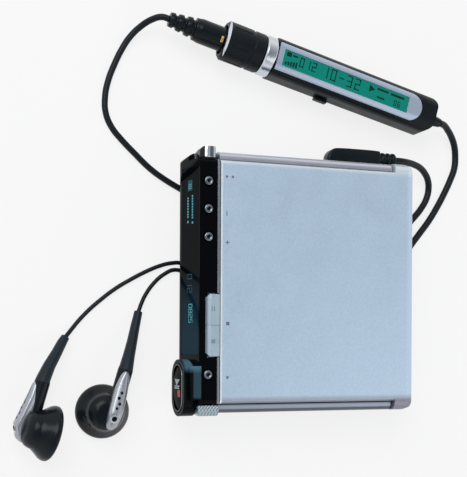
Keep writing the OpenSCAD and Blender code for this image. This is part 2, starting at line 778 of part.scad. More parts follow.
module pad_housing() {
    color("#14171d") on_player() difference() {
        union() {
            pad_frame() translate([0, 0, -pad_in]) linear_extrude(pad_in + pad_out) stadium(pad_l, pad_w);
            collar(0);
        }
        pad_frame() translate([0, 0, pad_out - 3.85]) linear_extrude(8)
            stadium(pad_l - 2.2, pad_w - 2.2);
    }
}

module pad_trim() {
    l = pad_l - 2.2 - 2 * pad_hole;
    w = pad_w - 2.2 - 2 * pad_hole;
    color("#d0d4da") on_player() pad_frame() difference() {
        union() {
            translate([0, 0, pad_out - 3.1]) linear_extrude(3.3) stadium(l, w);
            translate([0, 0, pad_out - 3.75]) cylinder(h = 0.8, r = 1.5);
        }
        translate([0, 0, pad_out - 2.2]) linear_extrude(8) stadium(l - 1, w - 1);
    }
}

module control_pad() {
    l = pad_l - 3.2 - 4 * pad_hole;
    w = pad_w - 3.2 - 4 * pad_hole;
    color("#0c0e12") on_player() pad_frame() translate([0, 0, pad_out - 1.6]) intersection() {
        linear_extrude(1.9) stadium(l, w);
        translate([0, 0, 1.9 - 40]) sphere(r = 40, $fn = 96);
    }
}

// Inside the player

module circuit_board() {
    board_z = case_wall + board_room;
    board_y = skirt_y - 0.5;
    color("#2f6b45") on_player() {
        difference() {
            union() {
                box(case_x + 8, battery_x - 1.5, -board_y, board_y, board_z, board_z + 0.8);
                box(battery_x - 2, hx - 9, battery_y1 + 2, board_y, board_z, board_z + 0.8);
                box(-22, -12, board_y - 21.5, board_y - 11.5, board_z + 0.7, board_z + 1.9);
                box(-24, -14, 7.5 - board_y, 19.5 - board_y, board_z + 0.7, board_z + 1.9);
                box(-8, 4, board_y - 15.5, board_y - 3.5, board_z + 0.7, board_z + 1.7);
                box(20, 27, battery_y1 + 6, battery_y1 + 13, board_z + 0.7, board_z + 1.7);
            }
            jack_places() box(-jack_r - 1.4, jack_r + 1.4, hy - jack_depth - 1.4, big, 0, big);
            box(bracket_x1, bracket_x1 + sled_motor_l + 1.5, screw_y - 2.6, screw_y + 2.6, 0, big);
        }
        box(crease_x + 1.4, strip_x - 0.4, -skirt_y + 1, skirt_y - 1, bar_top, bar_top + 0.4);
    }
}

module battery() {
    color("#4a4f58") on_player() translate([battery_x, battery_y0, case_wall + board_room])
        linear_extrude(battery_h) plan(0, battery_w, 0, battery_l, 1, 1);
}

module battery_door() {
    color("#8d929c") on_player() difference() {
        union() {
            box(door_x0 + 0.1, door_x0 + door_l - 0.1, -hy, -hy + case_wall, door_axis_z - 0.55,
                door_axis_z - 0.25 + door_h);
            rod_x(door_x0 + 0.1, door_x0 + door_l - 0.1, door_axis_y, door_axis_z, 0.9);
        }
        box(door_x0 - 1, door_x0 + door_l + 1, -hy - 1, -hy + 2, 0, door_axis_z - 0.9);
        box(door_x0 - 1, door_x0 + door_l + 1, -hy - 3, -hy, 0, 9);
    }
    color("#8d929c") on_player() rod_x(door_x0 - 0.8, door_x0 + door_l + 0.8, door_axis_y, door_axis_z, 0.5);
}

module deck_plate() {
    color("#9aa0a8") on_player() difference() {
        union() {
            box(bracket_x0, hx - 8, -deck_y, deck_y, deck_z, deck_top);
            for (x = [bracket_x0, bracket_x1])
                box(x, x + bracket_t, -sled_y - 1.6, screw_y + 1.6, sled_z - 1.6, deck_z + 0.1);
            both_sides() for (x = [-20, 10]) box(x, x + 6, deck_y - 1, skirt_y, deck_z, deck_top);
        }
        translate([spindle_x, 0, 0]) cylinder(h = big, r = turntable_r + 0.8);
        box(sled_x - sled_travel - 0.6, bracket_x1, -sled_y - 2.6, screw_y + 1.9, deck_z - 1, big);
        for (y = [-sled_y, sled_y])
            rod_x(bracket_x0 - 1, bracket_x1 + 2, y, sled_z, rail_r + 0.01);
        rod_x(bracket_x0 - 1, bracket_x1 + 2, screw_y, sled_z, screw_r + run_gap);
    }
}

module spindle_motor() {
    color("#7c8087") on_player() translate([spindle_x, 0, 0]) difference() {
        union() {
            translate([0, 0, motor_z]) cylinder(h = deck_z - motor_z, r = motor_r);
            translate([0, 0, motor_z]) cylinder(h = deck_top - motor_z - 0.1, r = 2.2);
        }
        translate([0, 0, motor_z + 0.2]) cylinder(h = big, r = 0.75 + run_gap);
    }
}

module turntable() {
    color("#c9ccd1") on_player() translate([spindle_x, 0, 0]) {
        difference() {
            translate([0, 0, deck_top + 0.1]) cylinder(h = bay_z - deck_top - 0.2, r = turntable_r);
            translate([0, 0, deck_top + 0.35]) difference() {
                cylinder(h = 5, r = turntable_r - 0.7);
                cylinder(h = 5, r = 2.4);
            }
        }
        translate([0, 0, motor_z + 0.3]) cylinder(h = deck_top - motor_z - 0.1, r = 0.75);
    }
}

module optical_pickup() {
    top = deck_top;
    color("#3b3f47") on_player() difference() {
        union() {
            box(sled_x, sled_x + sled_l, -sled_y - 2, screw_y + 1.5, sled_z - 1.3, sled_z + 1.3);
            box(sled_x + 1.5, sled_x + sled_l - 1.5, -6.4, 6.4, sled_z + 1.2, top - 0.3);
            translate([sled_x + sled_l / 2, 0, top - 0.4]) cylinder(h = 0.6, r = 2.4);
        }
        translate([sled_x + sled_l / 2, 0, top - 0.3]) cylinder(h = 2, r = 1.6);
        for (y = [-sled_y, sled_y])
            rod_x(sled_x - 1, sled_x + sled_l + 1, y, sled_z, rail_r + run_gap);
        rod_x(sled_x - 1, sled_x + sled_l + 1, screw_y, sled_z, screw_r + run_gap);
    }
}

module guide_rails() {
    color("#cfd3d8") on_player() for (y = [-sled_y, sled_y])
        rod_x(bracket_x0 - 0.2, bracket_x1 + bracket_t + 0.2, y, sled_z, rail_r);
}

module lead_screw() {
    color("#b8975a") on_player() difference() {
        rod_x(bracket_x0 - 0.2, bracket_x1 + bracket_t + 3, screw_y, sled_z, screw_r);
        for (x = [bracket_x0 + 2 : 2 : bracket_x1 - 1])
            translate([x, screw_y, sled_z]) rotate([0, 90, 0]) difference() {
                cylinder(h = 0.5, r = screw_r + 1);
                translate([0, 0, -1]) cylinder(h = 3, r = screw_r - 0.25);
            }
    }
}

module sled_motor() {
    color("#8b9097") on_player() difference() {
        rod_x(bracket_x1 + bracket_t, bracket_x1 + bracket_t + sled_motor_l, screw_y, sled_z, sled_motor_r);
        rod_x(bracket_x1 + bracket_t - 1, bracket_x1 + bracket_t + 3.3, screw_y, sled_z, screw_r + run_gap);
    }
}

module jack_sockets() {
    color("#22262c") on_player() jack_places() difference() {
        union() {
            box(-jack_r - 1, jack_r + 1, hy - jack_depth - 1, hy - case_wall - 0.2, jack_z - jack_r - 0.8,
                jack_z + jack_r + 0.8);
            rod_y(0, hy - 3, hy, jack_z, jack_r + 0.7);
        }
        rod_y(0, hy - jack_depth, hy + 1, jack_z, jack_r);
    }
}

module case_screws() {
    color("#6d7278") on_player() screw_places() {
        cylinder(h = 0.39, r = 1.5);
        cylinder(h = 4.2, r = 0.75);
    }
}

// Remote control

module remote_section(shrink) {
    hw = remote_w / 2 - shrink;
    hh = remote_h / 2 - shrink;
    difference() {
        square([2 * hw, 2 * hh], center = true);
        for (a = [-1, 1], b = [-1, 1]) corner_cut(a * hw, b * hh, -a, -b, shell_corner - shrink);
    }
}

module remote_solid(x0, x1, shrink, r) {
    intersection() {
        along_x(x0, x1) remote_section(shrink);
        translate([0, 0, -big / 2]) linear_extrude(big)
            plan(x0 - 9, x1, -remote_w / 2 + shrink, remote_w / 2 - shrink, 1, r);
    }
}

module glass_plan(l, w) {
    plan(0, l, -w / 2, w / 2, 0.5, w / 2 - 0.01);
}

side_keys_x = [shell_x0 + 8.1, shell_x0 + 33.6];
side_keys_l = [7.4, 9.2];
side_key_z = remote_h / 2 - 4.7;
relief_l = 5.1;
tab_x = shell_x0 + 18.8;
tab_l = 4.7;

module remote_body() {
    top = remote_h / 2;
    color("#161a21") on_remote() difference() {
        remote_solid(shell_x0, remote_len, 0, 4);
        difference() {
            remote_solid(shell_x0 + remote_wall, remote_len - remote_wall, remote_wall, 3);
            box(clip_x - 6, clip_x + 18, -6, 6, -top, -top + 3.6);
            translate([glass_x0 - 1, glass_v, top - glass_t - 1]) linear_extrude(5)
                glass_plan(glass_l + 2, glass_w + 2);
        }
        translate([glass_x0, glass_v, top - glass_t]) linear_extrude(5)
            glass_plan(glass_l + 0.1, glass_w + 0.1);
        box(glass_x0 + lcd_in - 0.05, glass_x0 + lcd_in + lcd_l + 0.05, glass_v - lcd_w / 2 - 0.05,
            glass_v + lcd_w / 2 + 0.05, top - glass_t - 0.6, top);
        rod_x(shell_x0 - 1, shell_x0 + 3, 0, 0, 3.3);
        box(clip_x - 4, clip_x + 16, -clip_half - gap, clip_half + gap, -top - 1, -top + 2.7);
        rod_y(clip_x, -5.3, 5.3, -top + 0.9, 0.6 + run_gap);
        for (i = [0, 1])
            box(side_keys_x[i] - gap, side_keys_x[i] + side_keys_l[i] + gap, remote_w / 2 - 3.3,
                remote_w / 2 + 2, -side_key_z - gap, side_key_z + gap);
        box(tab_x - 0.2, tab_x + tab_l + 0.6, -remote_w / 2 - 2, -remote_w / 2 + 3.3, -2.2, -1);
        rod_x(remote_len - 3, remote_len + 1, 0, 0, 1.9);
    }
}

module remote_window() {
    color("#9fb4cc") on_remote() intersection() {
        remote_solid(shell_x0, remote_len, 0, 4);
        translate([glass_x0 + 0.05, glass_v, remote_h / 2 - glass_t]) linear_extrude(5) difference() {
            glass_plan(glass_l, glass_w);
            translate([lcd_in - 0.1, -lcd_w / 2 - 0.05]) square([lcd_l + 0.1, lcd_w + 0.1]);
        }
    }
}

module remote_lcd() {
    color("#12a07a") on_remote()
        translate([glass_x0 + lcd_in, glass_v - lcd_w / 2, remote_h / 2 - glass_t - 0.55])
        cube([lcd_l, lcd_w, glass_t + 0.35]);
}

module jog_dial() {
    color("#20242c") on_remote() rotate([0, 90, 0]) difference() {
        rotate_extrude() polygon([[head_r - 1.6, 0], [head_r - 0.8, 0], [head_r, 0.8], [head_r, head_l - 4.8],
            [head_r - 0.3, head_l - 4.5], [head_r - 0.3, head_l - 3.9], [head_r, head_l - 3.6],
            [head_r, head_l - 0.4],
            [head_r - 0.4, head_l], [head_r - 1.6, head_l]]);
        for (a = [0 : 30 : 330]) rotate([0, 0, a]) translate([head_r + 0.35, 0, 2])
            cylinder(h = 6, r = 0.6);
    }
}

module jog_ring() {
    color("#c4cad2") on_remote() rotate([0, 90, 0]) rotate_extrude()
        polygon([[3.3, ring_x0], [head_r - 0.2, ring_x0], [head_r + 0.2, ring_x0 + 0.5],
            [head_r + 0.2, ring_x1 - 0.4], [head_r, ring_x1], [3.3, ring_x1]]);
}

module phones_socket() {
    color("#23272e") on_remote() rotate([0, 90, 0]) rotate_extrude()
        polygon([[jack_r, 0.9], [head_r - 1.9, 0.9], [head_r - 1.9, head_l],
            [3.25, head_l], [3.25, shell_x0 + 2.5],
            [0, shell_x0 + 2.5], [0, 0.9 + jack_depth], [jack_r, 0.9 + jack_depth]]);
}

module hold_tab() {
    color("#2a2e36") on_remote() {
        box(tab_x, tab_x + tab_l, -remote_w / 2 - 1.2, -remote_w / 2 - 0.1, -2.7, -0.5);
        box(tab_x + 1.4, tab_x + tab_l - 1.4, -remote_w / 2 - 0.2, -remote_w / 2 + 1.7, -2, -1.2);
    }
}

module side_key(i) {
    x0 = side_keys_x[i];
    x1 = x0 + side_keys_l[i];
    color("#2c3038") on_remote() {
        box(x0, x1, remote_w / 2 - remote_wall - 0.1, remote_w / 2 + 0.6, -side_key_z, side_key_z);
        box(x0 - 0.8, x1 + 0.8, remote_w / 2 - remote_wall - 0.7, remote_w / 2 - remote_wall - 0.1,
            -side_key_z - 0.8, side_key_z + 0.8);
    }
}

module display_key() {
    side_key(0);
}

module playmode_key() {
    side_key(1);
}

module remote_clip() {
    pivot_z = -remote_h / 2 + 0.9;
    foot = -remote_at[2] + 0.3;
    color("#1a1e25") on_remote() {
        difference() {
            union() {
                box(clip_x - 24, clip_x + 14, -clip_half, clip_half, foot, foot + 0.8);
                both_sides() along_y(clip_half - 1.3, clip_half - 0.05) {
                    translate([clip_x, pivot_z]) circle(1.2);
                    translate([clip_x - 1, foot + 0.4]) square([2, pivot_z - foot - 0.4]);
                }
                box(clip_x - 23.8, clip_x - 22.4, -clip_half + 0.2, clip_half - 0.2, foot + 0.5, foot + 1);
            }
            box(clip_x - 20, clip_x - 8, -2, 2, foot - 1, foot + 3);
        }
        both_sides() rod_y(clip_x, clip_half - 0.5, 5.1, pivot_z, 0.6);
    }
}

module remote_relief() {
    color("#15181e") on_remote() rotate([0, 90, 0]) rotate_extrude()
        polygon([[0, remote_len - 2.5], [1.85, remote_len - 2.5], [1.85, remote_len + 1],
            [2.1, remote_len + 1.2], [1.5, remote_len + relief_l], [0, remote_len + relief_l]]);
}

// Leads, wound and free

module remote_lead() {
    color("#20242a") place() tube(concat(remote_pts, [coil_in_end]), remote_d / 2, tube_sides);
}

module remote_coil() {
    color("#20242a") place() tube(remote_coil_path, remote_d / 2, wound_sides);
}

module plug_lead() {
    color("#20242a") place() tube(concat(plug_pts, [coil_out_end]), remote_d / 2, tube_sides);
}

module remote_plug() {
    mid_y = hy + 2.65;
    x0 = remote_jack_x - 8.6;
    l = 19.2;
    x1 = x0 + l;
    color("#191c22") on_player() {
        translate([0, 0, jack_z - 2.4]) linear_extrude(4.8) difference() {
            translate([x0, hy + 0.2]) square([l, 4.9]);
            translate([x0, hy + 5.1]) rotate([0, 0, 42]) square([9, 9], center = true);
        }
        rod_x(x1 - 0.1, x1 + 6.8, mid_y, jack_z, 1.5);
        for (x = [x1 + 0.8, x1 + 2.8, x1 + 4.8]) rod_x(x, x + 1.2, mid_y, jack_z, 2.3);
    }
    color("#c8a45a") on_player()
        rod_y(remote_jack_x, hy - jack_depth + 1.1, hy + 0.3, jack_z, jack_r - run_gap);
}

module phone_plug() {
    color("#191c22") on_remote() rotate([0, -90, 0]) rotate_extrude()
        polygon([[0, -0.2], [4, -0.2], [4, 8], [3.7, 9.5], [3.7, 10.2], [2.7, 10.4], [2.7, 11.4],
            [3.3, 11.6], [3.1, 13.2], [2.3, 13.4], [2.3, 14.4], [2.9, 14.6], [2.7, 16.2],
            [2, 16.4], [2, 17.2], [2.5, 17.4], [2.3, 19], [0, 19]]);
    color("#c8a45a") on_remote() rotate([0, 90, 0]) rotate_extrude()
        polygon([[0, -0.1], [jack_r - run_gap, -0.1], [jack_r - run_gap, 10], [1.2, 10.4],
            [1.5, 11.2], [0.6, 12.9], [0, 12.9]]);
}

module phone_lead() {
    color("#20242a") place() tube(concat(phone_pts, [phone_in_end]), phone_d / 2, tube_sides);
}

module phone_coil() {
    color("#20242a") place() tube(phone_coil_path, phone_d / 2, wound_sides);
}

module coil_lead() {
    tail_end = [-5.5, -15, 1.05];
    color("#20242a") place() tube(concat([phone_out_end], tail_pts, [tail_end]), phone_d / 2, tube_sides);
}

module splitter() {
    color("#191c22") place() intersection() {
        translate([-5.5, -20.2, 0]) linear_extrude(2.8) plan(-2.6, 2.6, -5.2, 5.2, 1.2, 1.2);
        translate([-5.5, 0, 0.6]) rotate([90, 0, 0]) cylinder(h = 60, r = 2.7);
    }
}

module left_branch() {
    color("#20242a") place() tube(left_pts, branch_d / 2, tube_sides);
}

module right_branch() {
    color("#20242a") place() tube(right_pts, branch_d / 2, tube_sides);
}

// Earpieces: z towards the back, y along the stem

module at_left_bud() {
    place() translate(left_bud_at) rotate([0, 0, left_bud_a]) rotate([0, left_bud_lean - 90, 0])
        children();
}

module at_right_bud() {
    place() translate(right_bud_at) rotate([0, 0, right_bud_a]) children();
}

// Middle of the stem at a distance along it from the earpiece's middle
function turned(a, p) = [p[0] * cos(a) - p[1] * sin(a), p[0] * sin(a) + p[1] * cos(a), p[2]];
function left_stem(y) = left_bud_at + turned(left_bud_a,
    [-stem_off * sin(left_bud_lean) - stem_z * cos(left_bud_lean), y,
    -stem_off * cos(left_bud_lean) + stem_z * sin(left_bud_lean)]);
function right_stem(y) = right_bud_at + turned(right_bud_a, [stem_off, y, stem_z]);

module bud_profile() {
    d = bud_depth;
    polygon([[0, 0.5], [bud_r - 1, 0.5], [bud_r - 1, 0], [bud_r - 0.3, 0], [bud_r, 0.4],
        [bud_r, 1.2], [bud_r - 0.4, 2.2], [shell_r + 0.9, d - 5.1], [shell_r + 0.2, d - 3.9],
        [shell_r, d - 2.9], [shell_r - 0.5, d - 1.7], [shell_r - 1.7, d - 0.6],
        [shell_r - 3.6, d], [0, d]]);
}

module bud_stem(side) {
    translate([side * stem_off, stem_y1, stem_z]) rotate([90, 0, 0])
        cylinder(h = stem_y1 - stem_y0, r = stem_r);
}

module bud_shell(side) {
    rotate_extrude() bud_profile();
    bud_stem(side);
}

module bud_trim(side) {
    translate([side * stem_off, 0, 0]) difference() {
        intersection() {
            translate([0, trim_y, stem_z + 0.6]) linear_extrude(8) stadium(trim_l, trim_across);
            along_x(-10, 10) polygon([[trim_y - 10.9, 0], [trim_y - 10.2, stem_z + 2],
                [trim_y - 5.8, stem_z + stem_r + trim_rise - 0.3],
                [trim_y - 4.8, stem_z + stem_r + trim_rise],
                [trim_y + 5.5, stem_z + stem_r + 0.7], [trim_y + 10.5, stem_z + stem_r + 0.3],
                [trim_y + 10.5, 0]]);
            translate([0, 20, stem_z]) rotate([90, 0, 0]) cylinder(h = 40, r = stem_r + trim_rise + 0.1);
        }
        translate([-side * stem_off, 0, 0]) rotate_extrude() offset_profile();
        translate([0, 30, stem_z]) rotate([90, 0, 0]) cylinder(h = 60, r = stem_r + 0.05);
    }
}

module offset_profile() {
    d = bud_depth + 0.05;
    polygon([[0, 0], [shell_r + 0.05, 0], [shell_r + 0.05, d - 2.95], [shell_r - 0.42, d - 1.7],
        [shell_r - 1.64, d - 0.58], [shell_r - 3.56, d], [0, d]]);
}

module left_bud_shell() {
    color("#1b2027") at_left_bud() bud_shell(-1);
}

module right_bud_shell() {
    color("#1b2027") at_right_bud() bud_shell(1);
}

module bud_sleeves() {
    radii = [stem_r, stem_r - 0.15, stem_r - 0.45, stem_r - 0.7, stem_r - 0.85, stem_r - 1.05];
    color("#1e232a") place() {
        tube(concat([left_stem(stem_y1), left_stem(stem_y1 + 1)], left_sleeve_pts), radii, 12);
        tube(concat([right_stem(stem_y1), right_stem(stem_y1 + 1)], right_sleeve_pts), radii, 12);
    }
}

module bud_trims() {
    color("#aeb4bd") {
        at_left_bud() bud_trim(-1);
        at_right_bud() bud_trim(1);
    }
}

module grille() {
    r = bud_r - 1.1;
    difference() {
        intersection() {
            translate([0, 0, -1.6]) cylinder(h = 2, r = r);
            translate([0, 0, 20 - 1.6]) sphere(r = 20, $fn = 96);
        }
        for (a = [0 : 45 : 315]) rotate([0, 0, a]) translate([3.2, 0, -3]) cylinder(h = 3, r = 0.7);
    }
}

module bud_grilles() {
    color("#5b626c") {
        at_left_bud() grille();
        at_right_bud() grille();
    }
}

bottom_case();
mid_frame();
front_bezel();
trim_strip();
display_window();
oled_panel();
lid();
disc_holder();
head_arm();
hinge_pins();
hold_slider();
open_slider();
menu_button();
volume_down_button();
volume_up_button();
track_mark_button();
pause_key();
stop_key();
pad_housing();
pad_trim();
control_pad();
circuit_board();
battery();
battery_door();
deck_plate();
spindle_motor();
turntable();
optical_pickup();
guide_rails();
lead_screw();
sled_motor();
jack_sockets();
case_screws();
remote_body();
remote_window();
remote_lcd();
jog_dial();
jog_ring();
phones_socket();
hold_tab();
display_key();
playmode_key();
remote_clip();
remote_relief();
remote_lead();
remote_coil();
plug_lead();
remote_plug();
phone_plug();
phone_lead();
phone_coil();
coil_lead();
splitter();
left_branch();
right_branch();
left_bud_shell();
right_bud_shell();
bud_sleeves();
bud_trims();
bud_grilles();
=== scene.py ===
import math

import bmesh
import bpy
import numpy as np
from mathutils import Matrix, Vector


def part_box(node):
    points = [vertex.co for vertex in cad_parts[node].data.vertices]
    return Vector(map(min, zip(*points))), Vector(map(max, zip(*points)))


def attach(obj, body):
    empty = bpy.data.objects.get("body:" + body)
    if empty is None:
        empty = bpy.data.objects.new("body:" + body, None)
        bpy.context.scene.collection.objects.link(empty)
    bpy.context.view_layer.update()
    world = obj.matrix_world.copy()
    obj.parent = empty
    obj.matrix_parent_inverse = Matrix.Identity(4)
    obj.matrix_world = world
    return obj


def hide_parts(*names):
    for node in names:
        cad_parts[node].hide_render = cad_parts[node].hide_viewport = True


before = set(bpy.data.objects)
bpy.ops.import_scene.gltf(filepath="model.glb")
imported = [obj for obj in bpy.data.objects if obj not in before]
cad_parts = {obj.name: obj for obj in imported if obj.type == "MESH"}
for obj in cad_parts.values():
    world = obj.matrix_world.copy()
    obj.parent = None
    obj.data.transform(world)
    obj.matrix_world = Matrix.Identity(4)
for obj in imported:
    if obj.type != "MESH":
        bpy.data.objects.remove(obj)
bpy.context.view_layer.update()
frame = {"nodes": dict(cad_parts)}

bl_info = {
    "name": "Disc recorder on a table",
    "version": (1, 0, 0),
    "blender": (4, 5, 0),
    "location": "View3D > Sidebar > Recorder",
    "description": "Dresses the recorder, its remote control and its earphones",
    "category": "Object",
}

MM = 0.001
# From the player's own centre, in millimetres, to the middle of everything on the table
SHIFT = np.array([20.71, -15.405, 0.0])
LIFT = 5.5
ROOT = "player"

# Camera, as the photograph was taken: millimetres from the player's centre, degrees
EYE = (-126.7, -18.9, 307.4)
TILT = 19.3
ROLL = 0.3
LENS = 71.77
SHIFT_UP = 0.2149
# The room: white walls and a grey ceiling
CEILING = "8c8f94"

# Player, in millimetres from its own centre and underside: half its length, half its width, height
HX, HY, H = 40.25, 42.15, 14.6
# Display face: height of its foot, run of its slope and its lean from upright
FACE_FOOT = 2.0
FACE_RUN = 2.65
LEAN = math.atan2(FACE_RUN, H - FACE_FOOT)
# Middle of the black strip that carries the buttons and keys
STRIP_MID = -HX + FACE_RUN + 3.0
# Control pad: its middle, its lean in degrees, the top of its dome and the dome's radius
PAD_AT = (-HX, -34.1, 6.3)
PAD_LEAN = 4.5
PAD_TOP = 2.25
PAD_RADIUS = 40.0
# Lid: radius of its rolled end, and how far in from each side that end is rounded in plan
ROLL_RADIUS = 4.0
ROLL_REACH = 3.2

# Remote control: the middle of its end, its direction in degrees and the top of its screen
REMOTE_AT = np.array([-26.11, 81.26, 7.6])
REMOTE_TURN = -14.3
SCREEN_TOP = 6.0

# Earpieces, left and right: turn on the table and tilt in degrees, and place
BUDS = {
    -1: (-16.0, -80.0, (-81.9, -48.2, 8.597)),
    1: (-16.3, 0.0, (-64.9, -41.9, 1.6)),
}
# Middle of an oval trim in an earpiece's own frame, to the side and along the stem
TRIM_X, TRIM_Y = 2.2, 4.9

# Height of a printed mark above its surface
PRINT = 0.012
# Corners sharper than this, in degrees, are rounded
SHARP = 28.0

# Leads: points listed in millimetres from the player's centre, as in the part
REMOTE_PTS = [
    (56.7, 60.2, 7.6), (59.3, 59.9, 6.4), (61.9, 58.6, 4.8), (64.4, 56.7, 3.2),
    (66.4, 53.8, 2.0), (67.3, 49.9, 1.3), (67, 45.6, 1.2), (65.2, 41, 1.2), (62.6, 35.8, 1.2),
    (59.6, 30.6, 1.2), (56.3, 25.6, 1.2), (52.4, 20.7, 1.2), (48.3, 15.6, 1.2),
    (44.2, 9.8, 1.2), (40.7, 3.4, 1.2), (38.7, -2, 1.2),
]
PLUG_PTS = [
    (37.4, 44.8, 10.1), (40, 44.8, 9.9), (43.2, 44.8, 8.8), (46.6, 44.6, 7.2), (50, 44, 5.4),
    (53, 42.6, 3.6), (55.2, 40.4, 2.2), (56, 37.4, 1.4), (55.3, 33.8, 1.2), (53, 29.9, 1.2),
    (49.6, 26, 1.2), (45.4, 21.8, 1.2), (40.4, 17.6, 1.3), (34.8, 13.9, 1.9), (28.8, 11.3, 3.1),
]
PHONE_PTS = [
    (-44.5, 86, 7.6), (-46.8, 86.6, 7), (-49.8, 85.9, 5.4), (-53, 83.9, 3.4),
    (-56.2, 80.6, 1.9), (-58.9, 76.2, 1.2), (-61.3, 71, 1.05), (-63.2, 65.8, 1.05),
    (-64.2, 60.4, 1.05), (-63.9, 55, 1.05), (-61.9, 50.6, 1.05), (-58.7, 46.9, 1.05),
    (-54.4, 42.8, 1.05), (-49, 38, 1.05), (-43.4, 34.4, 1.05), (-37.6, 31.4, 1.05),
    (-31.8, 28.2, 1.05), (-26, 25.2, 1.05),
]
TAIL_PTS = [(-2.8, 3.2, 3.3), (-3.4, -1.2, 2.6), (-4.2, -5.6, 1.6), (-5, -10, 1.1), (-5.5, -15, 1.05)]
LEFT_PTS = [
    (-6.4, -25.4, 0.7), (-6.7, -28, 0.7), (-8.6, -31.2, 0.7), (-12, -33.2, 0.7),
    (-16.6, -33.8, 0.7), (-21.6, -33.6, 0.7), (-26.4, -32.2, 0.7), (-30, -29.2, 0.7),
    (-32.4, -25, 0.7), (-33.5, -20, 0.7), (-33.9, -14.8, 0.7), (-34, -9.4, 0.7), (-34, -4, 0.7),
    (-34.1, 0.8, 0.7), (-35.2, 4.8, 0.7), (-38, 7, 0.7), (-41.4, 7, 0.7), (-45.6, 5.9, 0.7),
    (-50.4, 3.8, 0.7), (-55.4, 1.1, 0.7), (-60.3, -1.9, 0.7), (-65, -5.5, 0.7),
    (-69.4, -9.4, 0.7), (-72.6, -12.8, 0.8), (-75, -15.7, 1.3), (-76.9, -18, 2),
]
RIGHT_PTS = [
    (-4.6, -25.4, 0.7), (-4.7, -28.4, 0.7), (-5.8, -32.2, 0.7), (-9.2, -35.6, 0.7),
    (-14, -37, 0.7), (-19.4, -37.2, 0.7), (-24.8, -36.8, 0.7), (-29.8, -35, 0.7),
    (-33.4, -31.4, 0.7), (-35.3, -26.4, 0.7), (-35.9, -20.8, 0.7), (-36, -15.2, 0.7),
    (-36, -9.6, 0.7), (-36, -4, 0.7), (-36.2, 0.4, 0.7), (-37.4, 3.9, 0.7), (-40.2, 4.8, 0.7),
    (-43.8, 3.3, 0.7), (-47.4, 0.2, 0.7), (-50.3, -3.8, 0.8), (-51.8, -6.8, 1.2),
    (-52.9, -9.5, 1.8),
]
# Each coil: centre, inner radius, turns, angle at which it starts
REMOTE_COIL = ((20, -8), 10.0, 5.75, 0.0)
PHONE_COIL = ((-17, 9), 8.8, 4.25, 90.0)
COIL_GAP = 0.45


# Sizes and colours that a user can change

class RecorderColours(bpy.types.PropertyGroup):
    """Paint, metal and plastic colours, as sRGB hex codes"""
    lid: bpy.props.StringProperty(
        name="Lid", description="Bead-blasted aluminium of the lid", default="c3d9ed")
    frame: bpy.props.StringProperty(
        name="Side frame", description="Satin silver of the side frame", default="8f8ea0")
    case: bpy.props.StringProperty(name="Case", description="Grey metal of the bottom case", default="8d929c")
    bezel: bpy.props.StringProperty(name="Bezel", description="Black gloss plastic", default="07090d")
    lead: bpy.props.StringProperty(name="Leads", description="Sheath of the leads", default="0f171d")
    display: bpy.props.StringProperty(
        name="Display", description="Lit marks of the display", default="57b3c1")
    remote_display: bpy.props.StringProperty(
        name="Remote display", description="Green backlight", default="088577")


class RecorderSizes(bpy.types.PropertyGroup):
    """Sizes that only change how the pieces look"""
    edge: bpy.props.FloatProperty(
        name="Edge", description="Rounding of the outer edges", default=0.00022,
        min=0.00005, max=0.0005, unit="LENGTH")
    remote_lead: bpy.props.FloatProperty(
        name="Remote lead", description="Diameter of the remote control's lead", default=0.0024,
        unit="LENGTH")
    phone_lead: bpy.props.FloatProperty(
        name="Earphone lead", description="Diameter of the earphone lead", default=0.0021, unit="LENGTH")
    branch: bpy.props.FloatProperty(
        name="Branch", description="Diameter of each branch", default=0.0014, unit="LENGTH")


class RecorderStage(bpy.types.PropertyGroup):
    """Light on the table"""
    world: bpy.props.FloatProperty(
        name="Room", description="Strength of the room's light", default=0.5, min=0, max=2)
    key: bpy.props.FloatProperty(
        name="Key", description="Power of the main soft box", default=4.0, min=0, unit="POWER")
    fill: bpy.props.FloatProperty(
        name="Fill", description="Power of the fill light", default=1.2, min=0, unit="POWER")


# Geometry

def spot(points, lift=0.0):
    """Points in millimetres from the player's centre, moved by SHIFT and lift and scaled to metres."""
    return (np.asarray(points, float) + SHIFT + [0, 0, lift]) * MM


def on_player(points):
    """The same, with heights measured from the player's underside."""
    return spot(points, LIFT)


def on_face(points):
    """From the display face's own frame (up the face, along it, outwards): the face stands on its
    foot and is turned by its lean about the long edge."""
    p = np.asarray(points, float)
    up = np.array([math.sin(LEAN), 0, math.cos(LEAN)])
    out = np.array([-math.cos(LEAN), 0, math.sin(LEAN)])
    foot = np.array([-HX, 0, FACE_FOOT])
    return on_player(foot + p[..., :1] * up + p[..., 1:2] * [0, 1, 0] + p[..., 2:3] * out)


def on_remote(points):
    """From the remote control's own frame: x along it from the turning head, y across, z up."""
    a = math.radians(REMOTE_TURN)
    turn = np.array([[math.cos(a), -math.sin(a), 0], [math.sin(a), math.cos(a), 0], [0, 0, 1]])
    return spot(np.asarray(points, float) @ turn.T + REMOTE_AT)


def on_pad(points):
    """From the control pad's own frame (up, along the player, outwards), turned by its lean."""
    p = np.asarray(points, float)
    a = math.radians(PAD_LEAN)
    up = np.array([math.sin(a), 0, math.cos(a)])
    out = np.array([-math.cos(a), 0, math.sin(a)])
    return on_player(np.array(PAD_AT) + p[..., :1] * up + p[..., 1:2] * [0, 1, 0] + p[..., 2:3] * out)


def on_dome(points):
    """The same, with the third number measured from the pad's dome, which falls from its top by
    the distance from the middle squared over twice the radius."""
    p = np.array(points, float)
    p[..., 2] += PAD_TOP - (p[..., 0] ** 2 + p[..., 1] ** 2) / (2 * PAD_RADIUS)
    return on_pad(p)


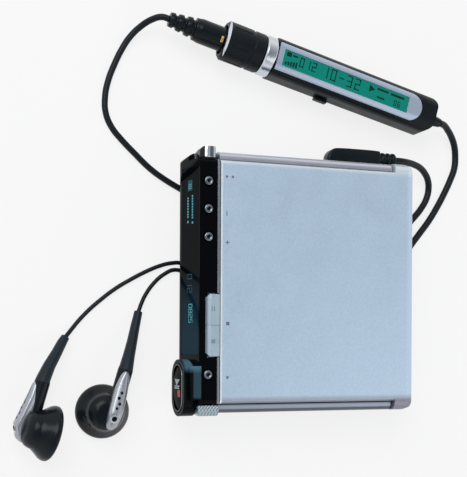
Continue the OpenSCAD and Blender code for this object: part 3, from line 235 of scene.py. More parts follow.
def on_bud(side, points):
    """From an earpiece's own frame: across, along the stem, towards its back. The right one lies on
    its face and the left one stands on its rim."""
    turn, tilt, place = BUDS[side]
    a, b = math.radians(turn), math.radians(tilt)
    about_z = np.array([[math.cos(a), -math.sin(a), 0], [math.sin(a), math.cos(a), 0], [0, 0, 1]])
    about_y = np.array([[math.cos(b), 0, math.sin(b)], [0, 1, 0], [-math.sin(b), 0, math.cos(b)]])
    return spot(np.asarray(points, float) @ (about_z @ about_y).T + place)


def new_mesh(name, verts, faces, material, body=ROOT, smooth=True, slot=None):
    """A mesh object at the origin, from finished points and faces, that rides on a body and takes
    the given finish. Its slot is not used."""
    data = bpy.data.meshes.new(name)
    data.from_pydata(np.asarray(verts, float).reshape(-1, 3).tolist(), [], faces)
    data.validate()
    data.polygons.foreach_set("use_smooth", np.full(len(data.polygons), smooth))
    piece = bpy.data.objects.new(name, data)
    bpy.context.scene.collection.objects.link(piece)
    data.materials.append(material)
    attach(piece, body)
    return piece


def sheet_faces(rows, cols):
    """Faces of an open grid of rows by cols points: each point joins the next row and column."""
    k = np.arange(rows * cols).reshape(rows, cols)[:-1, :-1]
    return np.stack([k, k + cols, k + cols + 1, k + 1], -1).reshape(-1, 4).tolist()


def quads(rows, cols):
    """Faces of a grid of rows by cols points, closed along the columns: each point joins its
    neighbours in the next row and the next column, counted round."""
    i, j = np.meshgrid(np.arange(rows - 1), np.arange(cols), indexing="ij")
    a, b = i * cols + j, i * cols + (j + 1) % cols
    return np.stack([a, b, b + cols, a + cols], -1).reshape(-1, 4).tolist()


def skin(rings):
    """Points and faces of a closed surface through rings of points (rows, cols, 3), with the
    first and last ring filled."""
    rows, cols = rings.shape[:2]
    faces = quads(rows, cols)
    faces.append(list(range(cols))[::-1])
    faces.append([(rows - 1) * cols + k for k in range(cols)])
    return rings.reshape(-1, 3), faces


def turned(profile, sides=48):
    """Rings of a turned shape about z: each (radius, height) of the profile runs once round."""
    p = np.asarray(profile, float)
    t = np.linspace(0, 2 * np.pi, sides, endpoint=False)
    ring = np.stack([np.cos(t), np.sin(t)], -1)
    xy = np.maximum(p[:, :1], 1e-4)[:, None] * ring[None]
    return np.concatenate([xy, np.broadcast_to(p[:, 1, None, None], xy.shape[:2] + (1,))], -1)


def between(points, count):
    """A smooth line through given points: a Catmull-Rom curve read at even steps."""
    p = np.asarray(points, float)
    p = np.concatenate([2 * p[:1] - p[1:2], p, 2 * p[-1:] - p[-2:-1]])
    s = np.linspace(0, len(p) - 3 - 1e-9, count)
    i = s.astype(int)
    f = (s - i)[:, None]
    a, b, c, d = p[i], p[i + 1], p[i + 2], p[i + 3]
    square, cube = 2 * a - 5 * b + 4 * c - d, 3 * b - a - 3 * c + d
    return 0.5 * (2 * b + (c - a) * f + square * f ** 2 + cube * f ** 3)


def merged(parts):
    """Several (points, faces) as one, with the faces' numbers moved up."""
    verts, faces, start = [], [], 0
    for v, f in parts:
        verts.append(np.asarray(v, float).reshape(-1, 3))
        faces += [[k + start for k in face] for face in f]
        start += len(verts[-1])
    return np.concatenate(verts), faces


def softened(name, nodes, material, edge, body=ROOT, cutting=None, moving=None):
    """A copy of CAD solids with their loose triangles joined and their flat faces merged, whose
    sharp edges are rounded by the given width. The copy may first be cut into more faces, and then
    its points may be moved, all at once."""
    bm = bmesh.new()
    for n in nodes:
        bm.from_mesh(frame["nodes"][n].data)
    bmesh.ops.remove_doubles(bm, verts=bm.verts, dist=2e-6)
    bmesh.ops.dissolve_limit(bm, angle_limit=math.radians(1.0), verts=bm.verts, edges=bm.edges)
    if cutting:
        cutting(bm)
    data = bpy.data.meshes.new(name)
    bm.to_mesh(data)
    bm.free()
    if moving:
        points = np.empty(3 * len(data.vertices), np.float32)
        data.vertices.foreach_get("co", points)
        data.vertices.foreach_set("co", moving(points.reshape(-1, 3)).astype(np.float32).ravel())
        data.update()
    data.polygons.foreach_set("use_smooth", np.ones(len(data.polygons), bool))
    piece = bpy.data.objects.new(name, data)
    bpy.context.scene.collection.objects.link(piece)
    data.materials.clear()
    data.materials.append(material)
    bevel = piece.modifiers.new("edge", "BEVEL")
    bevel.width = edge
    bevel.segments = 2
    bevel.limit_method = "ANGLE"
    bevel.angle_limit = math.radians(SHARP)
    even = piece.modifiers.new("even", "WEIGHTED_NORMAL")
    even.weight = 80
    even.keep_sharp = True
    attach(piece, body)
    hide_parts(*nodes)
    return piece


def trim_top(y):
    """Height of an oval trim's back at a distance along the stem from its middle: it rises from
    the shell to a peak and falls gently towards the sleeve."""
    return np.interp(y, [-10.2, -8.6, -5.8, -4.8, 5.5, 10.5], [9.0, 10.4, 11.7, 12.0, 10.15, 9.7])


def trim_rings(side):
    """An oval trim: its outline is a superellipse, x = w |cos|^0.77 and y = L |sin|^0.77, a little
    wider at the lower end. The rings climb its wall, draw in over two slopes and close along the
    middle line."""
    t = np.linspace(0, 2 * np.pi, 56, endpoint=False)
    c, n = np.cos(t), np.sin(t)
    half_width, half_length, power, foot = 2.2 - 0.35 * n, 9.8, 0.77, 7.4
    x = half_width * np.sign(c) * np.abs(c) ** power
    y = half_length * np.sign(n) * np.abs(n) ** power
    rings = []
    # Share of the width, share of the length, and how far the ring lies below the trim's back
    for wide, long, drop in ((1, 1, None), (1, 1, 0.85), (0.94, 0.985, 0.6),
                             (0.62, 0.93, 0.1), (0.52, 0.91, 0.0), (0.01, 0.88, 0.0)):
        z = np.full(len(t), foot) if drop is None else np.maximum(trim_top(y * long) - drop, foot + 0.1)
        rings.append(np.stack([x * wide + side * TRIM_X, y * long + TRIM_Y, z], -1))
    return on_bud(side, np.array(rings))


def on_trim(side):
    """Frame of an oval trim's back, for one side: across, along the stem, outwards from its
    middle line."""
    def place(points):
        p = np.array(points, float)
        p[..., 2] += trim_top(p[..., 1])
        return on_bud(side, p + [side * TRIM_X, TRIM_Y, 0])
    return place


def cut_near_the_sides(bm):
    """Cuts loops across the lid near both sides, closer together towards the side."""
    for side in (-1, 1):
        for share in (0.05, 0.3, 0.5, 0.68, 0.82, 0.92, 0.98):
            y = side * (HY - ROLL_REACH + ROLL_REACH * share)
            geom = bm.verts[:] + bm.edges[:] + bm.faces[:]
            bmesh.ops.bisect_plane(
                bm, geom=geom, dist=1e-6, plane_co=on_player((0, y, 0)), plane_no=(0, 1, 0))


def round_the_hinge_end(points):
    """Rounds both ends of the lid's rolled edge in plan: a point at the share t of the reach from
    the side moves towards the roll's axis by the reach times (1 - sqrt(1 - t^2)), in proportion to
    its distance behind the axis, and down by a quarter of that."""
    axis_x, axis_z = HX - ROLL_RADIUS, H - ROLL_RADIUS
    p = points.astype(float) / MM - SHIFT - [0, 0, LIFT]
    t = np.clip((np.abs(p[:, 1]) - (HY - ROLL_REACH)) / ROLL_REACH, 0, 1)
    pull = ROLL_REACH * (1 - np.sqrt(1 - t * t))
    behind = np.clip((p[:, 0] - axis_x) / ROLL_RADIUS, 0, 1)
    above = np.clip((p[:, 2] - axis_z) / ROLL_RADIUS, 0, 1)
    p[:, 0] -= pull * behind
    p[:, 2] -= 0.25 * pull * above * np.clip((p[:, 0] - axis_x + ROLL_RADIUS) / 2, 0, 1)
    return on_player(p)


# Materials

# Size of the wide unevenness of every finish, in millimetres
PATCH = 9.0


def linear(code, alpha=1.0):
    """sRGB hex code to linear light: the lower end is a straight line and the rest a power curve."""
    c = np.array([int(code[i:i + 2], 16) for i in (0, 2, 4)]) / 255
    c = np.where(c <= 0.04045, c / 12.92, ((c + 0.055) / 1.055) ** 2.4)
    return (*c.tolist(), alpha)


def add(tree, kind, inputs=None, **settings):
    """Adds one node, sets its properties and fills or links its inputs."""
    n = tree.nodes.new(kind)
    for key, value in settings.items():
        setattr(n, key, value)
    for key, value in (inputs or {}).items():
        if isinstance(value, bpy.types.NodeSocket):
            tree.links.new(value, n.inputs[key])
        else:
            n.inputs[key].default_value = value
    return n


def knurled(tree, axes, pitch, edge, base, colour):
    """Colour and height of a crossed knurl: the higher of two sine waves of the pitch that run
    slantwise both ways, flat beyond a place along y, with painted shade in the grooves."""
    waves = []
    for way in ("ADD", "SUBTRACT"):
        rise = add(tree, "ShaderNodeMath", {0: axes[2], 1: axes[1]}, operation="SUBTRACT")
        slant = add(tree, "ShaderNodeMath", {0: axes[0], 1: rise.outputs[0]}, operation=way)
        turn = add(tree, "ShaderNodeMath", {
            0: slant.outputs[0], 1: 2 * math.pi * 1000 / pitch}, operation="MULTIPLY")
        waves.append(add(tree, "ShaderNodeMath", {0: turn.outputs[0]}, operation="SINE").outputs[0])
    height = add(tree, "ShaderNodeMath", {0: waves[0], 1: waves[1]}, operation="MAXIMUM").outputs[0]
    flat = add(tree, "ShaderNodeMath", {
        0: axes[1], 1: (SHIFT[1] + edge) * MM}, operation="GREATER_THAN").outputs[0]
    height = add(tree, "ShaderNodeMath", {0: height, 1: flat}, operation="MAXIMUM").outputs[0]
    # Painted shade: in the grooves the colour falls towards 0.3 of the base
    shade = add(tree, "ShaderNodeMapRange", {
        "Value": height, "From Min": -0.4, "From Max": 1.0, "To Min": 0.25, "To Max": 1.0}).outputs[0]
    groove_shade = tuple(c * 0.3 for c in base[:3]) + (1.0,)
    colour = add(tree, "ShaderNodeMix", {"Factor": shade, 6: groove_shade, 7: colour}, data_type="RGBA")
    return colour.outputs[2], height


def surface(name, code, roughness, metallic=0.0, ior=1.5, grain=0.3, depth=0.02, mottle=0.04,
            smear=0.06, stretch=(1, 1, 1), coat=0.0, emission=0.0, sheen=0.0, specular=0.5,
            speckle=0.0, painted_light=(), knurl=None):
    """A finish with grain: noise of the grain's size in millimetres gives the bump and, by speckle,
    a fine unevenness of the colour, a wider noise varies the colour by mottle and the roughness by
    smear. Each band of painted light and shade is a second colour that comes in along an axis of the
    player, between two places in millimetres. A knurl is its pitch and the place along y at which it ends."""
    m = bpy.data.materials.new(name)
    m.use_nodes = True
    tree = m.node_tree
    shader = tree.nodes["Principled BSDF"]
    place = add(tree, "ShaderNodeTexCoord").outputs["Object"]
    run = add(tree, "ShaderNodeMapping", {"Vector": place, "Scale": stretch}).outputs[0]
    fine = add(tree, "ShaderNodeTexNoise", {
        "Vector": run, "Scale": 1000 / grain, "Detail": 3.0, "Roughness": 0.6}).outputs["Fac"]
    wide = add(tree, "ShaderNodeTexNoise", {
        "Vector": place, "Scale": 1000 / PATCH, "Detail": 4.0, "Roughness": 0.55}).outputs["Fac"]
    mixed = add(tree, "ShaderNodeMath", {0: fine, 1: 0.5}, operation="SUBTRACT").outputs[0]
    mixed = add(tree, "ShaderNodeMath", {
        0: mixed, 1: speckle / max(mottle, 1e-3), 2: wide}, operation="MULTIPLY_ADD").outputs[0]
    base = linear(code)
    dark = tuple(c * (1 - mottle) for c in base[:3]) + (1.0,)
    light = tuple(min(1.0, c * (1 + mottle)) for c in base[:3]) + (1.0,)
    colour = add(tree, "ShaderNodeMix", {
        "Factor": mixed, 6: dark, 7: light}, data_type="RGBA", clamp_factor=False).outputs[2]
    axes = add(tree, "ShaderNodeSeparateXYZ", {"Vector": place}).outputs if painted_light or knurl else None
    # Bands of painted highlight and painted shade along the player's axes
    for axis, start, end, second in painted_light:
        zero = SHIFT[axis] + (LIFT if axis == 2 else 0)
        share = add(tree, "ShaderNodeMapRange", {
            "Value": axes[axis], "From Min": (zero + start) * MM, "From Max": (zero + end) * MM})
        colour = add(tree, "ShaderNodeMix", {
            "Factor": share.outputs[0], 6: colour, 7: linear(second)}, data_type="RGBA").outputs[2]
    height = fine
    if knurl:
        colour, height = knurled(tree, axes, *knurl, base, colour)
    tree.links.new(colour, shader.inputs["Base Color"])
    rough = add(tree, "ShaderNodeMapRange", {
        "Value": wide, "From Min": 0.3, "From Max": 0.7,
        "To Min": max(0.02, roughness - smear), "To Max": min(1.0, roughness + smear)})
    tree.links.new(rough.outputs[0], shader.inputs["Roughness"])
    bump = add(tree, "ShaderNodeBump", {
        "Height": height, "Strength": min(1.0, depth * 10), "Distance": 0.0001})
    tree.links.new(bump.outputs[0], shader.inputs["Normal"])
    shader.inputs["Metallic"].default_value = metallic
    if not metallic:
        shader.inputs["IOR"].default_value = ior
        shader.inputs["Specular IOR Level"].default_value = specular
    shader.inputs["Coat Weight"].default_value = coat
    shader.inputs["Coat Roughness"].default_value = 0.05
    if sheen:
        shader.inputs["Sheen Weight"].default_value = sheen
    if emission:
        tree.links.new(colour, shader.inputs["Emission Color"])
        shader.inputs["Emission Strength"].default_value = emission
    m.diffuse_color = base
    return m


# Each finish, from its real material and how it was made. A code is a hex colour or the name of a
# colour that the user can change
RECIPES = {
    # Anodised aluminium, blasted with fine beads: soft wide highlights and a fine even grain,
    # drawn coarser than the real 0.1 mm so that it shows
    "blasted_aluminium": dict(
        code="lid", roughness=0.42, metallic=0.6, grain=0.55, depth=0.03, mottle=0.02, smear=0.03,
        speckle=0.14,
        # Painted highlight near the plus-y side and along the edge by the display, painted shade near the
        # minus-y side and along the rolled hinge edge
        painted_light=((1, 37.2, 38.8, "dfe9f1"), (1, -36.6, -38.8, "8e8d9c"),
               (0, 39.5, 40.3, "77828f"), (0, -29.75, -30.15, "f2fafd"))),
    # Die-cast magnesium under satin silver paint: even, slightly lilac, low gloss, with painted
    # shade towards the minus-y side, painted light towards the plus-y side and a painted highlight
    # line along the ledge on both sides
    "painted_magnesium": dict(
        code="frame", roughness=0.33, metallic=0.6, grain=0.4, depth=0.012, mottle=0.03, speckle=0.05,
        painted_light=((1, 20, -38, "54575f"), (1, -39.3, -39.8, "949daa"), (1, -40.7, -41.1, "565a63"),
               (1, 30, 39.6, "a6a9b6"), (1, 40.2, 41.2, "d9dee8"))),
    # Pressed aluminium of the case, lightly brushed along the player
    "pressed_aluminium": dict(
        code="case", roughness=0.4, metallic=0.8, grain=0.35, depth=0.02, mottle=0.03, stretch=(0.08, 1, 1)),
    # Moulded and polished black ABS: mirror-like with faint waves from the mould
    "polished_abs": dict(
        code="bezel", roughness=0.1, ior=1.45, grain=4.0, depth=0.004, mottle=0.1, smear=0.03, specular=0.06),
    # The same round the control pad, with painted bluish reflections on its rounded neck and shoulder
    "tinted_abs": dict(
        code="0a0c0f", roughness=0.12, ior=1.45, grain=4.0, depth=0.004, mottle=0.1, smear=0.03,
        specular=0.05,
        painted_light=((0, -39.6, -39.2, "344e5c"), (1, -29.2, -27.4, "54798d"),
               (0, -40.7, -42.0, "0a0c0f"), (1, -36.7, -37.4, "0a0c0f"))),
    # Smoked acrylic window, polished, with a painted teal reflection towards one end
    "smoked_acrylic": dict(
        code="060a0e", roughness=0.05, ior=1.49, grain=6.0, depth=0.002, mottle=0.05, smear=0.02,
        specular=0.022,
        painted_light=((1, 4, -17, "1d3a4a"),)),
    # Polished chrome plate on the buttons, with a painted dark reflection in the middle of the dish
    "chrome_plate": dict(
        code="747d86", roughness=0.08, metallic=1.0, grain=1.5, depth=0.003, mottle=0.02, smear=0.03,
        painted_light=((2, 14.7, 14.66, "23282d"),)),
    # Bright chrome
    "bright_chrome": dict(
        code="d4dae1", roughness=0.14, metallic=1.0, grain=1.5, depth=0.003, mottle=0.02, smear=0.03),
    # Chrome of the hold slider, with a painted dark reflection on its outer part and painted highlights in
    # bands along its ridge
    "hold_chrome": dict(
        code="2a2d31", roughness=0.16, metallic=0.9, grain=1.5, depth=0.003, mottle=0.02, smear=0.03,
        painted_light=((0, -36.0, -35.3, "e9eff5"), (0, -34.3, -33.9, "7d8791"), (0, -33.0, -32.7, "b9c2cb"))),
    # Chrome of the line round the control pad, with painted shade on its lower half and a painted highlight
    # on its upper half
    "pad_chrome": dict(
        code="14171a", roughness=0.14, metallic=0.9, grain=1.5, depth=0.003, mottle=0.02, smear=0.03,
        painted_light=((2, 9.5, 11.4, "b5c0c9"),)),
    # Polished lens over the control pad's print, nearly black
    "pad_lens": dict(
        code="0b0d10", roughness=0.08, ior=1.45, grain=4.0, depth=0.003, mottle=0.08, smear=0.02,
        specular=0.014),
    # Chrome on the remote control's ring, whose face has shallow waves from turning
    "rippled_chrome": dict(
        code="ccd2d8", roughness=0.16, metallic=1.0, grain=5.0, depth=0.09, mottle=0.12, smear=0.05),
    # Satin silver plating on the keys, in painted shade on their outer slope, with a painted highlight along
    # their outer edge
    "satin_plating": dict(
        code="bfd4e3", roughness=0.3, metallic=0.5, grain=0.3, depth=0.01, mottle=0.03, speckle=0.04,
        painted_light=((0, -34.5, -34.8, "93a7b6"), (0, -35.1, -35.25, "dbe7ef"))),
    # Nickel plate with a crossed knurl on the slider's face, drawn at 1.05 mm instead of 0.6, with painted
    # shade in the grooves
    "knurled_nickel": dict(
        code="a9b9c2", roughness=0.24, metallic=0.85, grain=0.3, depth=0.06, mottle=0.04,
        knurl=(1.05, -39.6)),
    # Drawn aluminium line beside the lid
    "bright_line": dict(
        code="98a2ae", roughness=0.25, metallic=0.8, grain=0.3, depth=0.01, mottle=0.02,
        stretch=(1, 0.05, 1)),
    # Spark-eroded black ABS of the remote control: fine texture, soft gloss
    "textured_abs": dict(
        code="0d151b", roughness=0.38, ior=1.48, grain=0.35, depth=0.03, mottle=0.12, speckle=0.1,
        specular=0.2),
    # Smooth satin ABS of the plugs and earpieces, dark teal-grey
    "satin_abs": dict(
        code="0e171d", roughness=0.26, ior=1.48, grain=0.8, depth=0.006, mottle=0.1, specular=0.2),
    # Extruded PVC sheath: smooth, slightly waxy, dark blue-grey
    "pvc_sheath": dict(
        code="lead", roughness=0.36, ior=1.5, grain=0.6, depth=0.012, mottle=0.1, specular=0.2),
    # Soft elastomer sleeve at the earpieces: matte
    "elastomer": dict(
        code="1a262e", specular=0.22, roughness=0.5, ior=1.48, grain=0.4, depth=0.02, mottle=0.08, sheen=0.1),
    # Satin silver lacquer on the oval trims
    "silver_lacquer": dict(
        code="a9adb5", roughness=0.3, metallic=0.7, grain=0.3, depth=0.01, mottle=0.03, speckle=0.05),
    # Woven steel mesh in front of the speaker
    "steel_mesh": dict(code="5b626c", roughness=0.4, metallic=0.8, grain=0.5, depth=0.05, mottle=0.1),
    # Clear polycarbonate over a pale silver print
    "silver_print": dict(
        code="b2c1d6", roughness=0.2, metallic=0.35, ior=1.5, grain=0.6, depth=0.006, mottle=0.03, coat=0.4),
    # Backlit liquid crystal behind clear plastic, and its dark marks
    "lit_green": dict(
        code="remote_display", roughness=0.25, ior=1.45, grain=2.0, depth=0.002, mottle=0.05,
        specular=0.2, emission=0.12),
    "dark_green": dict(
        code="07332c", roughness=0.4, ior=1.45, grain=2.0, depth=0.002, mottle=0.05, specular=0.2),
    # Marks of the light-emitting display, bright and dim; the dim finish also covers the whole panel
    # as a painted teal sheen
    "lit_cyan": dict(
        code="display", roughness=0.4, grain=2.0, depth=0.002, mottle=0.02, specular=0.1, emission=0.05),
    "dim_cyan": dict(
        code="1f4e5a", roughness=0.4, grain=2.0, depth=0.002, mottle=0.02, specular=0.1, emission=0.1),
    # Pad-printed ink
    "grey_ink": dict(code="6c7482", roughness=0.6, grain=0.4, depth=0.01, mottle=0.05),
    "key_ink": dict(code="8499a8", roughness=0.5, grain=0.4, depth=0.01, mottle=0.03),
    "white_ink": dict(code="b3bfc8", roughness=0.5, grain=0.4, depth=0.01, mottle=0.03),
    "red_ink": dict(code="b8492c", roughness=0.5, grain=0.4, depth=0.01, mottle=0.03),
    # Painted shade standing in for the depth of an opening
    "dark_hollow": dict(code="040506", roughness=0.6, grain=0.4, depth=0.01, mottle=0.05, specular=0.1),
    # Machined and ground steel, turned brass, gold flash
    "ground_steel": dict(
        code="b9bec4", roughness=0.28, metallic=1.0, grain=0.2, depth=0.02, mottle=0.04, stretch=(1, 0.1, 1)),
    "turned_brass": dict(code="b8975a", roughness=0.3, metallic=1.0, grain=0.2, depth=0.02, mottle=0.05),
    "gold_flash": dict(code="d2ad62", roughness=0.2, metallic=1.0, grain=0.4, depth=0.01, mottle=0.04),
    # Solder mask over glass fibre
    "solder_mask": dict(code="2b5f41", roughness=0.35, ior=1.5, grain=0.3, depth=0.02, mottle=0.15),
    # Shrink sleeve round the cell
    "shrink_sleeve": dict(code="3f4650", roughness=0.4, ior=1.5, grain=1.0, depth=0.01, mottle=0.06),
}
FINISHES = {}


def finish_of(key):
    """Each finish is made once."""
    if key not in FINISHES:
        recipe = dict(RECIPES[key])
        recipe["code"] = getattr(bpy.context.scene.recorder_colours, recipe["code"], recipe["code"])
        FINISHES[key] = surface(key, **recipe)
    return FINISHES[key]


def carry(node_names, key):
    """CAD solids that stay as they are get a finish in every material slot."""
    for n in node_names:
        data = frame["nodes"][n].data
        if not data.materials:
            data.materials.append(finish_of(key))
        for i in range(len(data.materials)):
            data.materials[i] = finish_of(key)


# Leads

def wound(centre, inner, turns, start, d):
    """A wound lead as in the part: the radius falls evenly to the middle of the winding and grows
    again, and the lead climbs one layer in the half turn about the middle, by an S-shaped step.
    Each end runs on straight for one diameter."""
    pitch = d + COIL_GAP
    s = np.arange(round(turns * 24) + 1) / 24
    r = inner + pitch * np.abs(s - turns / 2)
    a = np.radians(start - 360 * s)
    f = np.clip((s - turns / 2 + 0.25) / 0.5, 0, 1)
    z = d / 2 + pitch * f * f * (3 - 2 * f)
    p = np.stack([centre[0] + r * np.cos(a), centre[1] + r * np.sin(a), z], -1)
    ends = [a[0], a[-1]]
    first = p[:1] - d * np.array([[math.sin(ends[0]), -math.cos(ends[0]), 0]])
    last = p[-1:] + d * np.array([[math.sin(ends[1]), -math.cos(ends[1]), 0]])
    return np.concatenate([first, p, last])


def lead(name, points, d, nodes, far_end, lay, with_pieces=()):
    """A lead as one smooth curve through its route, round in section."""
    p = spot(points)
    data = bpy.data.curves.new(name, "CURVE")
    data.dimensions = "3D"
    data.bevel_depth = d / 2
    data.bevel_resolution = 4
    data.resolution_u = 4
    data.use_fill_caps = True
    line = data.splines.new("BEZIER")
    line.bezier_points.add(len(p) - 1)
    line.bezier_points.foreach_set("co", p.ravel())
    for q in line.bezier_points:
        q.handle_left_type = q.handle_right_type = "AUTO"
    data.materials.append(finish_of("pvc_sheath"))
    piece = bpy.data.objects.new(name, data)
    bpy.context.scene.collection.objects.link(piece)
    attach(piece, ROOT)
    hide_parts(*nodes)
    list(with_pieces)
    return piece


# Small marks

SEGMENTS = {
    "0": "abcdef", "1": "bc", "2": "abged", "3": "abgcd", "4": "fgbc", "5": "afgcd",
    "6": "afgedc", "7": "abc", "8": "abcdefg", "9": "abcdfg", "-": "g",
}


def bars(text, x, y, h, pitch, place, z, thick=0.13):
    """Quads of plain seven-bar digits: each bar is a box of the digit's height h and width half of
    it, laid along x from the first digit's left foot at (x, y)."""
    w, t = 0.5 * h, thick * h
    boxes = {
        "a": (0, h - t, w, h), "d": (0, 0, w, t), "g": (0, (h - t) / 2, w, (h + t) / 2),
        "f": (0, h / 2, t, h), "b": (w - t, h / 2, w, h), "e": (0, 0, t, h / 2), "c": (w - t, 0, w, h / 2),
    }
    parts = []
    for i, ch in enumerate(text):
        for s in SEGMENTS.get(ch, ""):
            x0, y0, x1, y1 = boxes[s]
            parts.append(patch(x + i * pitch + x0, y + y0, x + i * pitch + x1, y + y1, place, z))
    return parts


def patch(x0, y0, x1, y1, place, z):
    """One flat rectangle, carried to its surface by place."""
    return place(np.array([(x0, y0, z), (x1, y0, z), (x1, y1, z), (x0, y1, z)])), [[0, 1, 2, 3]]


def disc(x, y, r, place, z, sides=16, inner=0.0):
    """A flat round mark, or a ring if it has an inner radius."""
    t = np.linspace(0, 2 * np.pi, sides, endpoint=False)
    rim = np.stack([x + r * np.cos(t), y + r * np.sin(t), np.full(sides, z)], -1)
    if not inner:
        return place(rim), [list(range(sides))]
    hole = np.stack([x + inner * np.cos(t), y + inner * np.sin(t), np.full(sides, z)], -1)
    k = np.arange(sides)
    faces = np.stack([k, (k + 1) % sides, (k + 1) % sides + sides, k + sides], -1).tolist()
    return place(np.concatenate([rim, hole])), faces


def triangle(x, y, h, place, z):
    """A flat play mark of height h that points along x."""
    return place(np.array([(x, y, z), (x + 0.85 * h, y + h / 2, z), (x, y + h, z)])), [[0, 1, 2]]


def dome_arc(side, start, r0, r1, n=10):
    """A flat ring segment of 34 degrees between two radii on an earpiece's dome, from an angle in
    degrees: out along the inner arc, back along the outer one, at the dome's height there."""
    t = np.radians(np.linspace(start, start + 34, n))
    arc = np.stack([np.cos(t), np.sin(t)], -1)
    rim = np.concatenate([r0 * arc, (r1 * arc)[::-1]])
    height = np.interp(np.hypot(rim[:, 0], rim[:, 1]), [5.9, 6.1, 6.8, 8.4], [6.6, 5.6, 4.4, 2.2]) + 0.03
    return on_bud(side, np.column_stack([rim, height])), [list(range(2 * n))[::-1]]


def marks(name, parts, key, body=ROOT, slot=None):
    """Several flat marks as one printed or lit piece."""
    return new_mesh(name, *merged(parts), finish_of(key), body, smooth=False, slot=slot)


def down_the_face(y0, height):
    """Text frame on the display panel: it reads along minus y, with its top up the face."""
    return lambda p: on_face(np.stack([height + p[:, 1], y0 - p[:, 0], p[:, 2]], -1))


def down_the_lid(x0, y0):
    """Text frame on the lid: it reads along minus y, with its top towards the hinge."""
    return lambda p: on_player(np.stack([x0 + p[:, 1], y0 - p[:, 0], p[:, 2]], -1))


# Pieces

class RecorderOperator:
    bl_options = {"REGISTER", "UNDO"}


def seen_directly(tree):
    """1 where the camera, a reflection or a view through clear plastic meets the surface, else 0."""
    path = add(tree, "ShaderNodeLightPath").outputs
    seen = add(tree, "ShaderNodeMath", {
        0: path["Is Camera Ray"], 1: path["Is Glossy Ray"]}, operation="MAXIMUM").outputs[0]
    return add(tree, "ShaderNodeMath", {
        0: seen, 1: path["Is Transmission Ray"]}, operation="MAXIMUM").outputs[0]


class RECORDER_OT_stage(RecorderOperator, bpy.types.Operator):
    """Sets the camera, the floor, the room and the lamps"""
    bl_idname = "recorder.stage"
    bl_label = "Stage"

    def execute(self, context):
        light = context.scene.recorder_stage
        cam = bpy.data.cameras.new("camera")
        cam.sensor_fit = "VERTICAL"
        cam.sensor_height = 36
        cam.lens = LENS
        cam.shift_y = SHIFT_UP
        cam.clip_start = 0.01
        eye = bpy.data.objects.new("camera", cam)
        turn = Matrix.Rotation(math.radians(-TILT), 4, "Y") @ Matrix.Rotation(math.radians(ROLL), 4, "Z")
        eye.matrix_world = Matrix.Translation(Vector(spot(EYE))) @ turn
        context.scene.collection.objects.link(eye)
        context.scene.camera = eye

        floor = bpy.data.materials.new("floor")
        floor.use_nodes = True
        tree = floor.node_tree
        tree.nodes.remove(tree.nodes["Principled BSDF"])
        part = add(tree, "ShaderNodeMath", {0: seen_directly(tree), 1: 0.8}, operation="MULTIPLY")
        cloth = add(tree, "ShaderNodeBsdfDiffuse", {"Color": linear("f4f4f4")})
        glow = add(tree, "ShaderNodeEmission", {"Color": linear("ffffff"), "Strength": 1.0})
        both = add(tree, "ShaderNodeMixShader", {
            0: part.outputs[0], 1: cloth.outputs[0], 2: glow.outputs[0]})
        tree.links.new(both.outputs[0], tree.nodes["Material Output"].inputs["Surface"])
        data = bpy.data.meshes.new("floor")
        far = 3.0
        data.from_pydata([(-far, -far, 0), (far, -far, 0), (far, far, 0), (-far, far, 0)], [], [[0, 1, 2, 3]])
        ground = bpy.data.objects.new("floor", data)
        data.materials.append(floor)
        context.scene.collection.objects.link(ground)

        world = bpy.data.worlds.new("room")
        world.use_nodes = True
        tree = world.node_tree
        level = add(tree, "ShaderNodeMapRange", {
            "Value": seen_directly(tree), "To Min": light.world, "To Max": 1.0})
        way = add(tree, "ShaderNodeTexCoord").outputs["Generated"]
        height = add(tree, "ShaderNodeSeparateXYZ", {"Vector": way}).outputs[2]
        share = add(tree, "ShaderNodeMapRange", {
            "Value": height, "From Min": 0.35, "From Max": 0.97}).outputs[0]
        walls = add(tree, "ShaderNodeMix", {
            "Factor": share, 6: linear("ffffff"), 7: linear(CEILING)}, data_type="RGBA")
        back = tree.nodes["Background"]
        tree.links.new(walls.outputs[2], back.inputs["Color"])
        tree.links.new(level.outputs[0], back.inputs["Strength"])
        context.scene.world = world

        for name, place, size, power in (
            ("key", (-0.30, 0.42, 0.75), 0.6, light.key),
            ("fill", (0.45, -0.35, 0.6), 0.7, light.fill),
        ):
            lamp = bpy.data.lights.new(name, "AREA")
            lamp.shape = "SQUARE"
            lamp.size = size
            lamp.energy = power
            box = bpy.data.objects.new(name, lamp)
            way = (-Vector(place)).to_track_quat("-Z", "Y").to_matrix().to_4x4()
            box.matrix_world = Matrix.Translation(Vector(place)) @ way
            context.scene.collection.objects.link(box)
        context.scene.view_settings.view_transform = "Standard"
        return {"FINISHED"}


